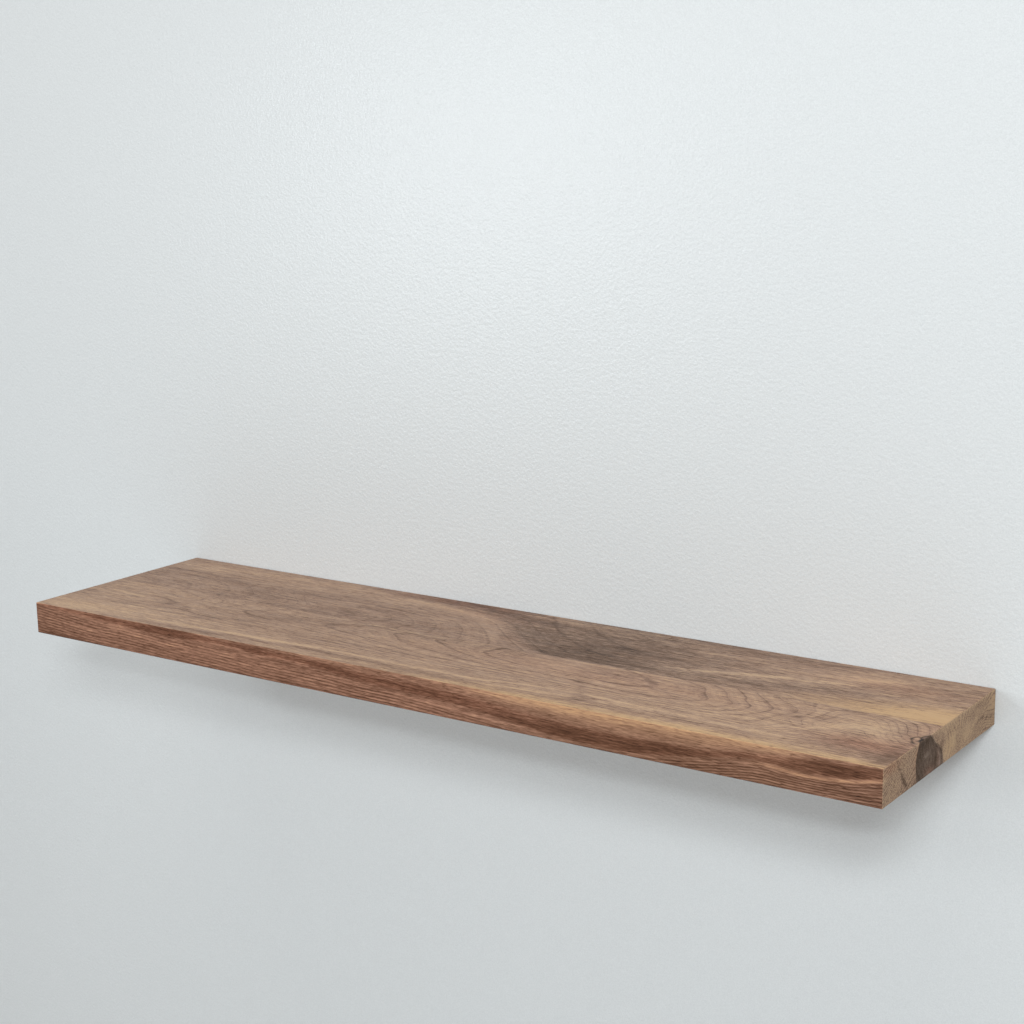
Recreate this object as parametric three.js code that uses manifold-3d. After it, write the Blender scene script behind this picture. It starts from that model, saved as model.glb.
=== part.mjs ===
// Floating wall shelf: a solid walnut board on a hidden steel bracket.
// The board is glued up from two staves. The bracket is a flat bar, screwed to the wall's studs,
// with rods welded into it. The board slides onto the rods until its back meets the wall.
//
// Millimetres. +X runs along the shelf to the right, -Y points out of the wall and +Z is up.
// The origin lies on the wall, at the middle of the board's back face.

import * as THREE from "three";
import { mergeVertices } from "three/addons/utils/BufferGeometryUtils.js";
import Module from "manifold-3d";

const wasm = await Module();
wasm.setup();

// Board: overall size, the rounding of its edges and corners, and the front one of its two staves.
const boardLength = 1219.2;
const boardDepth = 304.8;
const boardThickness = 42;
const boardEasing = 1.2;
const boardCornerRadius = 2;
const frontStaveWidth = 152.4;

// Wall bar: how far it stops short of the board's ends and faces, and its own section.
const barEndInset = 50.8;
const barFaceInset = 5.125;
const barThickness = 6.35;
const barEasing = 0.5;
const barCornerRadius = 3;

// Rods: round bar with a turned spigot through the wall bar and a weld bead round its root.
const rodCount = 6;
const rodEndInset = 50.8;
const rodRadius = 6.35;
const rodFrontInset = 95.25;
const rodTipChamfer = 1.5;
const spigotRadius = 4.75;
const weldLeg = 4;

// Room left round the bracket inside the board.
const rodClearance = 0.4;
const rodEndClearance = 6;
const weldClearance = 0.8;
const recessClearance = 0.8;
const recessFloorClearance = 0.4;

// Wall screws: countersunk, driven by a six-lobed star, in staggered pairs, one pair to a stud.
const wallScrewLength = 76.2;
const wallScrewRadius = 3.175;
const wallScrewHeadRadius = 6.35;
const wallScrewHeadRim = 0.4;
const wallScrewHeadHeight = 3.65;
const wallScrewPointLength = 8;
const wallScrewHeadGap = 3.3;
const wallScrewEdge = 1.525;
const starRadius = 2.6;
const starLobeHeight = 0.4;
const starDepth = 2.4;

// Biscuits: pressed beech ovals that keep the two staves level across the glue line.
const biscuitLength = 56;
const biscuitWidth = 23;
const biscuitThickness = 4;

// Locks: a threaded brass insert and a grub screw under two of the rods.
const lockRodNumbers = [2, 5];
const lockSetback = 60;
const insertRadius = 4.75;
const insertInset = 0.5;
const insertCover = 3.75;
const lockScrewRadius = 3;
const lockScrewInset = 2.35;
const lockSocketRadius = 1.73;
const lockSocketDepth = 2.5;

// Gap kept round turned and pressed pieces, and how far a cutter runs past the face it starts at.
const fitGap = 0.3;
const cutOverrun = 5;

// Smoothness of round shapes, as counts.
const roundSides = 24;
const easingSteps = 2;
const weldSteps = 4;
const starPoints = 36;
const starLobes = 6;
const hexSides = 6;
const arcSteps = 12;

// Sizes that follow from the ones above.
const glueLine = frontStaveWidth - boardDepth;
const barLength = boardLength - 2 * barEndInset;
const barHeight = boardThickness - 2 * barFaceInset;
const barFront = -barThickness;
const rodReach = boardDepth - rodFrontInset;
const rodSpacing = (barLength - 2 * rodEndInset) / (rodCount - 1);
const weldRadius = rodRadius + weldLeg;
const rodBoreRadius = rodRadius + rodClearance;
const screwOffsetX = wallScrewHeadRadius + wallScrewHeadGap / 2;
const screwOffsetZ = barHeight / 2 - wallScrewHeadRadius - wallScrewEdge;
const lockScrewTip = -rodRadius - fitGap;
const lockScrewFoot = -boardThickness / 2 + lockScrewInset;
const insertFoot = -boardThickness / 2 + insertInset;
const insertHead = -rodBoreRadius - insertCover;

// Rods stand evenly along the bar. A stud lies behind the middle of every second gap between them,
// so the studs are twice the rods' spacing apart, and a biscuit lies in front of each gap's middle.
const rodPlaces = Array.from({ length: rodCount }, (_, i) => rodEndInset - barLength / 2 + i * rodSpacing);
const gapMiddles = rodPlaces.slice(1).map((x, i) => (x + rodPlaces[i]) / 2);
const studPlaces = gapMiddles.filter((_, i) => i % 2 === 0);
const biscuitPlaces = gapMiddles;

// A closed three.js geometry as a manifold solid, for cutting.
function solidOf(geometry) {
  const bare = geometry.clone();
  bare.deleteAttribute("normal");
  bare.deleteAttribute("uv");
  const merged = mergeVertices(bare);
  const mesh = new wasm.Mesh({
    numProp: 3,
    vertProperties: merged.attributes.position.array,
    triVerts: new Uint32Array(merged.index.array),
  });
  return new wasm.Manifold(mesh);
}

// A manifold solid as a three.js geometry with flat faces.
function geometryOf(solid) {
  const mesh = solid.getMesh();
  const indexed = new THREE.BufferGeometry();
  indexed.setAttribute("position", new THREE.BufferAttribute(mesh.vertProperties, 3));
  indexed.setIndex(new THREE.BufferAttribute(mesh.triVerts, 1));
  const geometry = indexed.toNonIndexed();
  geometry.computeVertexNormals();
  return geometry;
}

// The first geometry less all the others.
function cut(geometry, cutters) {
  const subtract = (solid, cutter) => solid.subtract(cutter);
  return geometryOf(cutters.map(solidOf).reduce(subtract, solidOf(geometry)));
}

// Round bar along Y between two places.
function roundAlongY(radius, start, end) {
  const geometry = new THREE.CylinderGeometry(radius, radius, end - start, roundSides);
  return geometry.translate(0, (start + end) / 2, 0);
}

// Upright prism between two heights: round, or with fewer sides for a socket.
function prismAlongZ(radius, bottom, top, sides) {
  const geometry = new THREE.CylinderGeometry(radius, radius, top - bottom, sides);
  return geometry.rotateX(Math.PI / 2).translate(0, 0, (bottom + top) / 2);
}

// Solid of revolution about the Y axis from pairs of radius and place, in order of place.
function turned(profile) {
  const points = profile.map(([radius, place]) => new THREE.Vector2(radius, place));
  return new THREE.LatheGeometry(points, roundSides);
}

// Flat slab in the XY plane, centred on the origin, with round corners and eased rims.
function easedSlab(length, width, thickness, cornerRadius, easing) {
  const [x, y] = [length / 2, width / 2];
  const [innerX, innerY] = [x - cornerRadius, y - cornerRadius];
  const outline = new THREE.Shape();
  outline.absarc(innerX, innerY, cornerRadius, 0, Math.PI / 2);
  outline.absarc(-innerX, innerY, cornerRadius, Math.PI / 2, Math.PI);
  outline.absarc(-innerX, -innerY, cornerRadius, Math.PI, 1.5 * Math.PI);
  outline.absarc(innerX, -innerY, cornerRadius, 1.5 * Math.PI, 2 * Math.PI);
  const geometry = new THREE.ExtrudeGeometry(outline, {
    depth: thickness - 2 * easing,
    bevelThickness: easing,
    bevelSize: easing,
    bevelOffset: -easing,
    bevelSegments: easingSteps,
    curveSegments: easingSteps,
  });
  return geometry.translate(0, 0, easing - thickness / 2);
}

// Rod with its tip at the front, its weld bead against the bar and its spigot flush with the wall.
function rodGeometry() {
  const bead = [];
  for (let i = 0; i <= weldSteps; i++) {
    const turn = ((i / weldSteps) * Math.PI) / 2;
    bead.push([rodRadius + weldLeg * Math.sin(turn), barFront - weldLeg * Math.cos(turn)]);
  }
  return turned([
    [0, -rodReach],
    [rodRadius - rodTipChamfer, -rodReach],
    [rodRadius, -rodReach + rodTipChamfer],
    ...bead,
    [spigotRadius, barFront],
    [spigotRadius, 0],
    [0, 0],
  ]);
}

// Star socket cutter in a wall screw's head.
function starSocket() {
  const outline = new THREE.Shape();
  for (let i = 0; i < starPoints; i++) {
    const turn = (i / starPoints) * 2 * Math.PI;
    const radius = starRadius + starLobeHeight * Math.cos(starLobes * turn);
    const [x, y] = [radius * Math.cos(turn), radius * Math.sin(turn)];
    if (i === 0) outline.moveTo(x, y);
    else outline.lineTo(x, y);
  }
  const depth = cutOverrun + starDepth;
  const geometry = new THREE.ExtrudeGeometry(outline, { depth, bevelEnabled: false });
  return geometry.rotateX(-Math.PI / 2).translate(0, barFront - cutOverrun, 0);
}

// Wall screw with its head flush with the bar's front and its point behind the wall.
function wallScrewGeometry() {
  const rim = barFront + wallScrewHeadRim;
  const point = barFront + wallScrewLength;
  const blank = turned([
    [0, barFront],
    [wallScrewHeadRadius, barFront],
    [wallScrewHeadRadius, rim],
    [wallScrewRadius, barFront + wallScrewHeadHeight],
    [wallScrewRadius, point - wallScrewPointLength],
    [0, point],
  ]);
  return cut(blank, [starSocket()]);
}

// Countersunk hole for a wall screw.
function wallScrewHole() {
  return turned([
    [0, barFront - cutOverrun],
    [wallScrewHeadRadius + fitGap, barFront - cutOverrun],
    [wallScrewHeadRadius + fitGap, barFront + wallScrewHeadRim + fitGap],
    [wallScrewRadius + fitGap, barFront + wallScrewHeadHeight + fitGap],
    [wallScrewRadius + fitGap, cutOverrun],
    [0, cutOverrun],
  ]);
}

// Where each wall screw goes: the upper one left of the stud's middle, the lower one right of it.
const wallScrewPlaces = studPlaces.flatMap((x) => [
  { x: x - screwOffsetX, z: screwOffsetZ },
  { x: x + screwOffsetX, z: -screwOffsetZ },
]);

function wallBarGeometry() {
  const bar = easedSlab(barLength, barHeight, barThickness, barCornerRadius, barEasing);
  bar.rotateX(Math.PI / 2).translate(0, barFront / 2, 0);
  const spigotHoles = rodPlaces.map((x) =>
    roundAlongY(spigotRadius + fitGap, barFront - cutOverrun, cutOverrun).translate(x, 0, 0),
  );
  const screwHoles = wallScrewPlaces.map(({ x, z }) => wallScrewHole().translate(x, 0, z));
  return cut(bar, [...spigotHoles, ...screwHoles]);
}

// Oval biscuit lying across the glue line, grown on every side for its slot.
function biscuitGeometry(grow) {
  const halfLength = biscuitLength / 2 + grow;
  const halfWidth = biscuitWidth / 2 + grow;
  const radius = (halfLength ** 2 + halfWidth ** 2) / (2 * halfWidth);
  const halfTurn = Math.asin(halfLength / radius);
  const outline = new THREE.Shape();
  outline.absarc(0, halfWidth - radius, radius, Math.PI / 2 - halfTurn, Math.PI / 2 + halfTurn);
  outline.absarc(0, radius - halfWidth, radius, 1.5 * Math.PI - halfTurn, 1.5 * Math.PI + halfTurn);
  const thickness = biscuitThickness + 2 * grow;
  const geometry = new THREE.ExtrudeGeometry(outline, {
    depth: thickness,
    bevelEnabled: false,
    curveSegments: arcSteps,
  });
  return geometry.translate(0, glueLine, -thickness / 2);
}

function biscuitSlots() {
  return biscuitPlaces.map((x) => biscuitGeometry(fitGap).translate(x, 0, 0));
}

// Deep bores that the rods slide into, open at the board's back.
function rodBores() {
  return rodPlaces.map((x) =>
    roundAlongY(rodBoreRadius, -rodReach - rodEndClearance, cutOverrun).translate(x, 0, 0),
  );
}

// Shallow pockets round the mouths of the bores, for the weld beads.
function weldPockets() {
  const floor = barFront - weldLeg - weldClearance;
  const radius = weldRadius + weldClearance;
  return rodPlaces.map((x) => roundAlongY(radius, floor, cutOverrun).translate(x, 0, 0));
}

// Recess along the board's back for the wall bar.
function barRecess() {
  const length = barLength + 2 * recessClearance;
  const height = barHeight + 2 * recessClearance;
  const floor = barFront - recessFloorClearance;
  const recess = new THREE.BoxGeometry(length, cutOverrun - floor, height);
  return recess.translate(0, (cutOverrun + floor) / 2, 0);
}

// Where the locks stand along the board: under the rods that they hold.
function lockPlaces() {
  return lockRodNumbers.map((number) => rodPlaces[number - 1]).filter((x) => x !== undefined);
}

// Stepped holes from the board's underside to the locked rods' bores.
function lockHoles() {
  const below = -boardThickness / 2 - cutOverrun;
  const wide = prismAlongZ(insertRadius + fitGap, below, insertHead + fitGap, roundSides);
  const narrow = prismAlongZ(lockScrewRadius + fitGap, below, 0, roundSides);
  return lockPlaces().flatMap((x) => [
    wide.clone().translate(x, -lockSetback, 0),
    narrow.clone().translate(x, -lockSetback, 0),
  ]);
}

// One stave of the board: the eased slab, less what lies on the other side of the glue line.
function staveGeometry(otherStaveStart, otherStaveEnd, cutters) {
  const slab = easedSlab(boardLength, boardDepth, boardThickness, boardCornerRadius, boardEasing);
  slab.translate(0, -boardDepth / 2, 0);
  const otherStave = new THREE.BoxGeometry(
    boardLength + 2 * cutOverrun,
    otherStaveEnd - otherStaveStart,
    boardThickness + 2 * cutOverrun,
  );
  otherStave.translate(0, (otherStaveStart + otherStaveEnd) / 2, 0);
  return cut(slab, [otherStave, ...cutters]);
}

function frontStaveGeometry() {
  return staveGeometry(glueLine, cutOverrun, [...rodBores(), ...biscuitSlots()]);
}

function rearStaveGeometry() {
  const cutters = [barRecess(), ...weldPockets(), ...rodBores(), ...biscuitSlots(), ...lockHoles()];
  return staveGeometry(-boardDepth - cutOverrun, glueLine, cutters);
}

// Threaded insert as a plain sleeve round the grub screw.
function lockInsertGeometry() {
  const sleeve = prismAlongZ(insertRadius, insertFoot, insertHead, roundSides);
  const [boreFoot, boreHead] = [insertFoot - cutOverrun, insertHead + cutOverrun];
  return cut(sleeve, [prismAlongZ(lockScrewRadius + fitGap, boreFoot, boreHead, roundSides)]);
}

function lockScrewGeometry() {
  const blank = prismAlongZ(lockScrewRadius, lockScrewFoot, lockScrewTip, roundSides);
  const socketTop = lockScrewFoot + lockSocketDepth;
  return cut(blank, [prismAlongZ(lockSocketRadius, lockScrewFoot - cutOverrun, socketTop, hexSides)]);
}

// Finishes: colour, roughness and metalness.
const finishes = {
  walnutFront: { color: 0x5f4130, roughness: 0.45, metalness: 0 },
  walnutRear: { color: 0x58402f, roughness: 0.45, metalness: 0 },
  beech: { color: 0xc79a68, roughness: 0.7, metalness: 0 },
  bareSteel: { color: 0x8b8d90, roughness: 0.4, metalness: 1 },
  zincPlate: { color: 0xb9a874, roughness: 0.35, metalness: 1 },
  brass: { color: 0xb5924a, roughness: 0.35, metalness: 1 },
  blackSteel: { color: 0x2a2a2c, roughness: 0.45, metalness: 1 },
};

// A named mesh with its own material, placed in its group.
function addPiece(group, name, geometry, finish, x = 0, y = 0, z = 0) {
  const mesh = new THREE.Mesh(geometry, new THREE.MeshStandardMaterial(finishes[finish]));
  mesh.name = name;
  mesh.position.set(x, y, z);
  group.add(mesh);
}

// The bracket stays on the wall.
function makeBracket() {
  const bracket = new THREE.Group();
  addPiece(bracket, "wall_bar", wallBarGeometry(), "bareSteel");
  rodPlaces.forEach((x, i) => addPiece(bracket, `support_rod_${i + 1}`, rodGeometry(), "bareSteel", x));
  wallScrewPlaces.forEach(({ x, z }, i) =>
    addPiece(bracket, `wall_screw_${i + 1}`, wallScrewGeometry(), "zincPlate", x, 0, z),
  );
  return bracket;
}

// The shelf slides off the bracket towards -Y.
function makeShelf() {
  const shelf = new THREE.Group();
  addPiece(shelf, "front_stave", frontStaveGeometry(), "walnutFront");
  addPiece(shelf, "rear_stave", rearStaveGeometry(), "walnutRear");
  biscuitPlaces.forEach((x, i) => addPiece(shelf, `biscuit_${i + 1}`, biscuitGeometry(0), "beech", x));
  lockPlaces().forEach((x, i) => {
    addPiece(shelf, `lock_insert_${i + 1}`, lockInsertGeometry(), "brass", x, -lockSetback);
    addPiece(shelf, `lock_screw_${i + 1}`, lockScrewGeometry(), "blackSteel", x, -lockSetback);
  });
  return shelf;
}

const wallShelf = new THREE.Group();
wallShelf.add(makeBracket(), makeShelf());

export default wallShelf;
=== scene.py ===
import math
from itertools import pairwise, product

import bpy
import numpy as np
from mathutils import Matrix, Vector


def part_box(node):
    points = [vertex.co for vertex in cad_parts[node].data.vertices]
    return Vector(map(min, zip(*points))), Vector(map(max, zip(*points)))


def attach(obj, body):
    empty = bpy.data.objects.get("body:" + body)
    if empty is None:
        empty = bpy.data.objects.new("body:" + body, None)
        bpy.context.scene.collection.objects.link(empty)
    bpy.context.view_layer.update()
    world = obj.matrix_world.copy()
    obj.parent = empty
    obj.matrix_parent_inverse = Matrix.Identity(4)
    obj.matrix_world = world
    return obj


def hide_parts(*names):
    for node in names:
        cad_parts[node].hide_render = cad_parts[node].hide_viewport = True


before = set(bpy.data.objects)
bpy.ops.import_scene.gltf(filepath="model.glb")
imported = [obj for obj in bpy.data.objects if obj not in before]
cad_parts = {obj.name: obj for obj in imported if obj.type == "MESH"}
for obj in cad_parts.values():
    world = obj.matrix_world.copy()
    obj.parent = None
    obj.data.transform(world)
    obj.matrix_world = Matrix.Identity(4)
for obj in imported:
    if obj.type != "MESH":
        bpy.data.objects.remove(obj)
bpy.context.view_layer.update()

# Everything is in metres. Places on the board's faces are written in millimetres.
MM = 0.001

# The board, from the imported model.
front_low, front_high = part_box("front_stave")
rear_low, rear_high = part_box("rear_stave")
LENGTH = front_high.x - front_low.x
DEPTH = rear_high.y - front_low.y
THICKNESS = front_high.z - front_low.z
GLUE_LINE = rear_low.y
HALF_LENGTH = LENGTH / 2
HALF_THICKNESS = THICKNESS / 2

# How finely the staves are meshed, and how far their edges are eased.
EASING = 1.2 * MM
EASING_MIDDLE_SHARE = 1 - math.tan(math.pi / 8)
LENGTH_STEPS = ((-300 * MM, 38), (0.0, 42), (300 * MM, 50), (586 * MM, 82))
LAST_LENGTH_STEPS = 16
FRONT_DEPTH_STEPS = ((-226 * MM, 30), (-188 * MM, 28), (GLUE_LINE, 14))
REAR_DEPTH_STEPS = 60
FRONT_HEIGHT_STEPS = 27
REAR_HEIGHT_STEPS = 13

ROD_RADIUS = 6.35 * MM
WELD_LEG = 4 * MM

# Room left in the board round what it holds, and how the cutters that make it are shaped.
ROD_CLEARANCE = 0.4 * MM
ROD_END_CLEARANCE = 6 * MM
WELD_CLEARANCE = 0.8 * MM
RECESS_CLEARANCE = 0.8 * MM
RECESS_FLOOR_CLEARANCE = 0.4 * MM
FIT_GAP = 0.3 * MM
OVERRUN = 5 * MM
BORE_SIDES = 48
HOLE_SIDES = 32
SLOT_STEPS = 12

RODS = sorted(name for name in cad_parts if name.startswith("support_rod"))
WALL_SCREWS = sorted(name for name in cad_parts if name.startswith("wall_screw"))
BISCUITS = sorted(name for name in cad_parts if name.startswith("biscuit"))
INSERTS = sorted(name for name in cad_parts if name.startswith("lock_insert"))
LOCK_SCREWS = sorted(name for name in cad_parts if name.startswith("lock_screw"))


# Figure of the wood

# A growth ring is a row: its number, then the places that it passes on that face, two numbers for
# each. On the top a place is millimetres along the board from its middle, then millimetres from its
# back. On the front edge the second number is millimetres down from the top. On the right end the
# first is millimetres from the front.

FRONT_TOP_RINGS = (
    (-1.6, 76, 170, 100, 186, 150, 191, 196, 186, 225, 180),
    (-1, 52, 156, 46, 168, 60, 192, 94, 200, 130, 203, 190, 205, 240, 207, 270, 203, 288, 189, 280, 178,
     262, 168),
    (0, -20, 156, -34, 164, -40, 171, -18, 183, 0, 192, 20, 198, 42, 204, 70, 211, 102, 216, 170, 220,
     240, 224, 290, 225, 334, 221, 352, 214, 362, 201, 349, 188, 345, 176, 336, 164),
    (1, -60, 155, -80, 159, -94, 164, -100, 171, -86, 185, -72, 197, -40, 205, 0, 212, 26, 216, 80, 223,
     150, 229, 220, 234, 290, 237, 330, 234, 370, 227, 386, 214, 391, 201, 379, 188, 366, 170, 350,
     157),
    (2, -120, 155, -160, 162, -186, 172, -202, 184, -190, 195, -166, 202, -140, 205, -114, 211, -80,
     218, -42, 225, 20, 231, 80, 234, 200, 240, 300, 242, 350, 240, 386, 231, 405, 217, 411, 201, 399,
     186, 388, 166, 376, 156),
    (3, -340, 190, -312, 202, -290, 206, -260, 212, -220, 217, -180, 221, -140, 223, -100, 229, -60,
     234, 0, 240, 100, 242, 250, 246, 330, 247, 390, 240, 422, 226, 436, 201, 430, 186, 414, 169, 398,
     156),
    (4, -390, 206, -340, 222, -300, 227, -220, 234, -150, 236, -80, 241, 0, 248, 100, 250, 250, 252,
     340, 253, 400, 247, 440, 226, 458, 203, 462, 188, 448, 172, 424, 157),
    (5, -450, 152, -410, 190, -420, 214, -380, 236, -320, 240, -230, 243, -120, 247, 0, 255, 200, 257,
     340, 258, 418, 256, 462, 239, 476, 226, 477, 200, 480, 178, 470, 158),
    (4, -600, 187, -560, 189, -520, 195, -474, 195, -456, 202, -438, 210, -450, 218, -490, 224, -520,
     234, -600, 236),
    (3, -600, 200, -560, 204, -520, 209, -500, 212, -530, 217, -570, 221, -600, 223),
    (6, -600, 250, -540, 248, -482, 245, -454, 248, -398, 247, -310, 251, -220, 252, -100, 256, 0, 262,
     200, 260, 340, 262, 430, 261, 470, 248, 484, 228, 484, 200, 492, 172, 500, 158),
    (6, -600, 172, -540, 173, -480, 180, -440, 184, -425, 176, -470, 160),
    (6.5, 486, 206, 496, 178, 512, 164, 534, 158, 556, 162, 572, 176, 582, 196, 594, 210, 609, 217),
    (7, 488, 238, 492, 216, 498, 196, 506, 180, 520, 168, 540, 165, 556, 174, 566, 190, 574, 212, 590,
     226, 609, 236),
    (8, -600, 263, -480, 262, -380, 262, -310, 264, -220, 263, -100, 266, 0, 269, 200, 264, 340, 266,
     440, 266, 482, 250, 500, 233, 514, 216, 530, 207, 547, 204, 560, 211, 570, 228, 584, 240, 609,
     249),
    (10, -600, 276, -480, 275, -386, 282, -310, 282, -210, 277, -100, 273, 0, 275, 102, 274, 160, 263,
     240, 258, 290, 262, 400, 268, 470, 272, 520, 262, 560, 262, 609, 270),
    (14, -600, 300, -300, 300, 0, 299, 200, 294, 400, 294, 540, 292, 609, 297),
)

REAR_TOP_RINGS = (
    (0, -240, 152, -219, 145, -200, 131, -212, 118, -240, 112),
    (1, -290, 104, -245, 100, -215, 95, -190, 96, -165, 103, -152, 112, -143, 125, -156, 140, -180,
     152),
    (2, -330, 92, -280, 92, -235, 88, -195, 86, -160, 92, -132, 102, -110, 118, -104, 134, -112, 152),
    (3, -350, 78, -300, 80, -250, 80, -200, 75, -165, 80, -115, 88, -90, 100, -72, 122, -64, 152),
    (4, -330, 62, -250, 60, -200, 63, -150, 69, -100, 78, -60, 94, -32, 118, -17, 150),
    (5, -320, 44, -220, 42, -150, 52, -90, 61, -45, 76, -14, 98, 12, 126, 30, 152),
    (6, -600, 32, -480, 36, -400, 32, -317, 25, -242, 22, -200, 29, -150, 36, -105, 43, -55, 53, -17,
     70, 3, 87, 24, 107, 51, 127, 76, 145, 86, 152),
    (4.6, -347, 138, -336, 118, -350, 96, -385, 80, -420, 66, -500, 56, -600, 50),
    (4, -600, 67, -547, 61, -490, 69, -450, 76, -420, 88, -400, 103, -384, 118, -378, 140),
    (3, -600, 88, -560, 82, -500, 86, -460, 96, -434, 112, -420, 132, -418, 150),
    (2, -600, 106, -560, 104, -520, 112, -494, 128, -484, 150),
    (1, -600, 126, -570, 124, -548, 134, -540, 150),
    (7, -600, 12, -400, 14, -280, 8, -200, 13, -120, 22, -60, 34, -10, 52, 26, 78, 56, 106, 84, 128,
     112, 148),
    (8, -110, 6, -30, 22, 16, 42, 50, 70, 78, 96, 116, 120, 160, 140, 200, 146),
    (9, 36, 12, 48, 28, 61, 46, 80, 63, 98, 76, 130, 96, 170, 116, 230, 121, 276, 119, 317, 110, 355,
     95, 393, 87, 430, 80, 465, 71, 540, 66, 609, 60),
    (10, 96, 14, 116, 34, 150, 58, 196, 80, 250, 84, 320, 72, 380, 61, 455, 52, 493, 43, 518, 37, 609,
     28),
    (11, 160, 12, 200, 36, 250, 50, 300, 43, 343, 36, 380, 26, 405, 18, 450, 8),
    (8, 230, 138, 300, 128, 380, 112, 460, 98, 540, 88, 609, 82),
    (7, 300, 149, 393, 137, 470, 124, 540, 112, 609, 104),
    (6, 430, 152, 505, 139, 609, 124),
    (5, 545, 152, 609, 143),
)

RIGHT_END_RINGS = (
    (0, 0, 13, 20, 6, 30, 0),
    (2, 0, 29, 20, 20, 38, 10, 52, 0),
    (4, 10, 42, 34, 27, 56, 14, 74, 0),
    (6, 36, 42, 58, 30, 80, 16),
    (5, 158, 0, 168, 12, 170, 24, 160, 40),
    (7, 180, 0, 194, 14, 196, 28, 188, 42),
    (9, 226, 0, 216, 14, 206, 28, 200, 42),
    (11, 258, 0, 240, 13, 224, 28, 214, 42),
    (13, 290, 0, 268, 12, 248, 24, 228, 38),
    (14, 304, 10, 280, 14, 262, 19, 240, 34, 232, 42),
    (15, 304, 31, 286, 26, 264, 22, 250, 30, 242, 42),
    (17, 304, 40, 286, 36, 268, 34, 256, 42),
)

# On the front edge one pale ring runs from end to end, with stripes below it. Above it lies a band of
# dark wood, from its top to its foot, and above that the wood is pale. Lines give millimetres down
# from the top, at places along the board, and the stripes' width is given in the same way.
FRONT_EDGE_PALE_RING = (
    (-610, -1), (-560, 3), (-500, 7), (-450, 9), (-400, 11.5), (-350, 14), (-300, 16), (-250, 17.5),
    (-200, 18.5), (-150, 19.2), (-100, 20), (-50, 22), (0, 24.5), (50, 27), (90, 30), (130, 32.5),
    (175, 36.5), (220, 40), (280, 41.5), (325, 38.5), (370, 34), (400, 30), (430, 25.5), (460, 21.3),
    (480, 20), (500, 21.6), (525, 23.4), (550, 22.6), (575, 20), (592, 16.7), (610, 13.2),
)
FRONT_EDGE_STRIPE_WIDTH = (
    (-610, 3.7), (0, 3.7), (300, 3.2), (480, 2.9), (500, 2.65), (525, 2.4), (550, 2.5), (575, 2.9),
    (592, 3.3), (610, 3.7),
)
FRONT_EDGE_DARK_TOP = (
    (-610, -3), (-560, -1), (-480, -1), (-330, -1), (-295, 2), (-200, 3), (-150, 4), (-100, 5), (-50, 8),
    (0, 9), (60, 9.5), (110, 11), (150, 14), (200, 17.5), (260, 20), (320, 20.5), (360, 19.5),
    (400, 18.5), (425, 16), (450, 12), (480, 9.5), (520, 6), (560, 3.5), (610, 1.5),
)
FRONT_EDGE_DARK_FOOT = (
    (-610, 2), (-500, 6), (-400, 9), (-330, 9), (-290, 7), (-240, 8), (-200, 10.5), (-150, 10),
    (-100, 13), (-50, 17), (0, 19), (50, 20), (100, 22), (150, 27), (200, 33), (250, 36), (300, 37),
    (340, 35), (380, 29), (420, 23), (460, 16.5), (500, 17.5), (540, 19), (570, 17), (610, 11),
)
# How much darker the dark wood is along the board, and how much of the pale wood's tone shows.
FRONT_EDGE_DARKNESS = (
    (-610, 0), (-540, 0.02), (-480, 0.05), (-400, 0.08), (-320, 0.05), (-270, 0.01), (-220, 0.05),
    (-150, 0.06), (-80, 0.08), (40, 0.085), (120, 0.06), (160, 0.07), (220, 0.10), (300, 0.11),
    (380, 0.12), (430, 0.06), (480, 0.01), (520, 0.08), (560, 0.125), (610, 0.09),
)
FRONT_EDGE_PALENESS = (
    (-340, 0), (-80, 0.32), (40, 0.14), (160, 0.9), (280, 1.0), (480, 0.95), (550, 0.15), (610, 0),
)

# Where the sapwood's pale line runs along the front stave's top, and the line in front of it.
SAPWOOD_LINE = (
    (-430, 284), (-386, 283.5), (-340, 282), (-310, 282), (-270, 278.5), (-210, 277), (-170, 274),
    (-100, 273), (0, 274.6), (60, 274.4), (102, 273.6), (130, 268), (160, 263), (190, 259.6),
    (240, 258), (290, 262), (350, 264), (400, 268), (460, 270), (482, 272),
)
SECOND_SAPWOOD_LINE = (
    (96, 285), (130, 283), (160, 280), (200, 274.5), (226, 272), (250, 271), (310, 271),
)


def smooth_line(points, pieces=5):
    """A Catmull-Rom curve through given points."""
    rows = np.array(points, float)
    padded = np.vstack([2 * rows[0] - rows[1], rows, 2 * rows[-1] - rows[-2]])
    out = []
    for a, b, c, d in zip(padded, padded[1:], padded[2:], padded[3:]):
        for step in range(pieces):
            t = step / pieces
            out.append(0.5 * (
                2 * b + (c - a) * t + (2 * a - 5 * b + 4 * c - d) * t**2 + (3 * b - a - 3 * c + d) * t**3
            ))
    out.append(rows[-1])
    return np.array(out)


def height_at(line, along):
    """The second number of a line at places along the first."""
    curve = smooth_line(line)
    return np.interp(along, curve[:, 0], curve[:, 1])


def thin_plate(places, points):
    """How strongly each point bends a thin plate at each place."""
    gaps = np.linalg.norm(places[:, None] - points[None], axis=2) + 1e-9
    return gaps**2 * np.log(gaps)


# A field is worked out for this many places at a time, to spare memory.
FIELD_CHUNK = 8000


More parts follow.
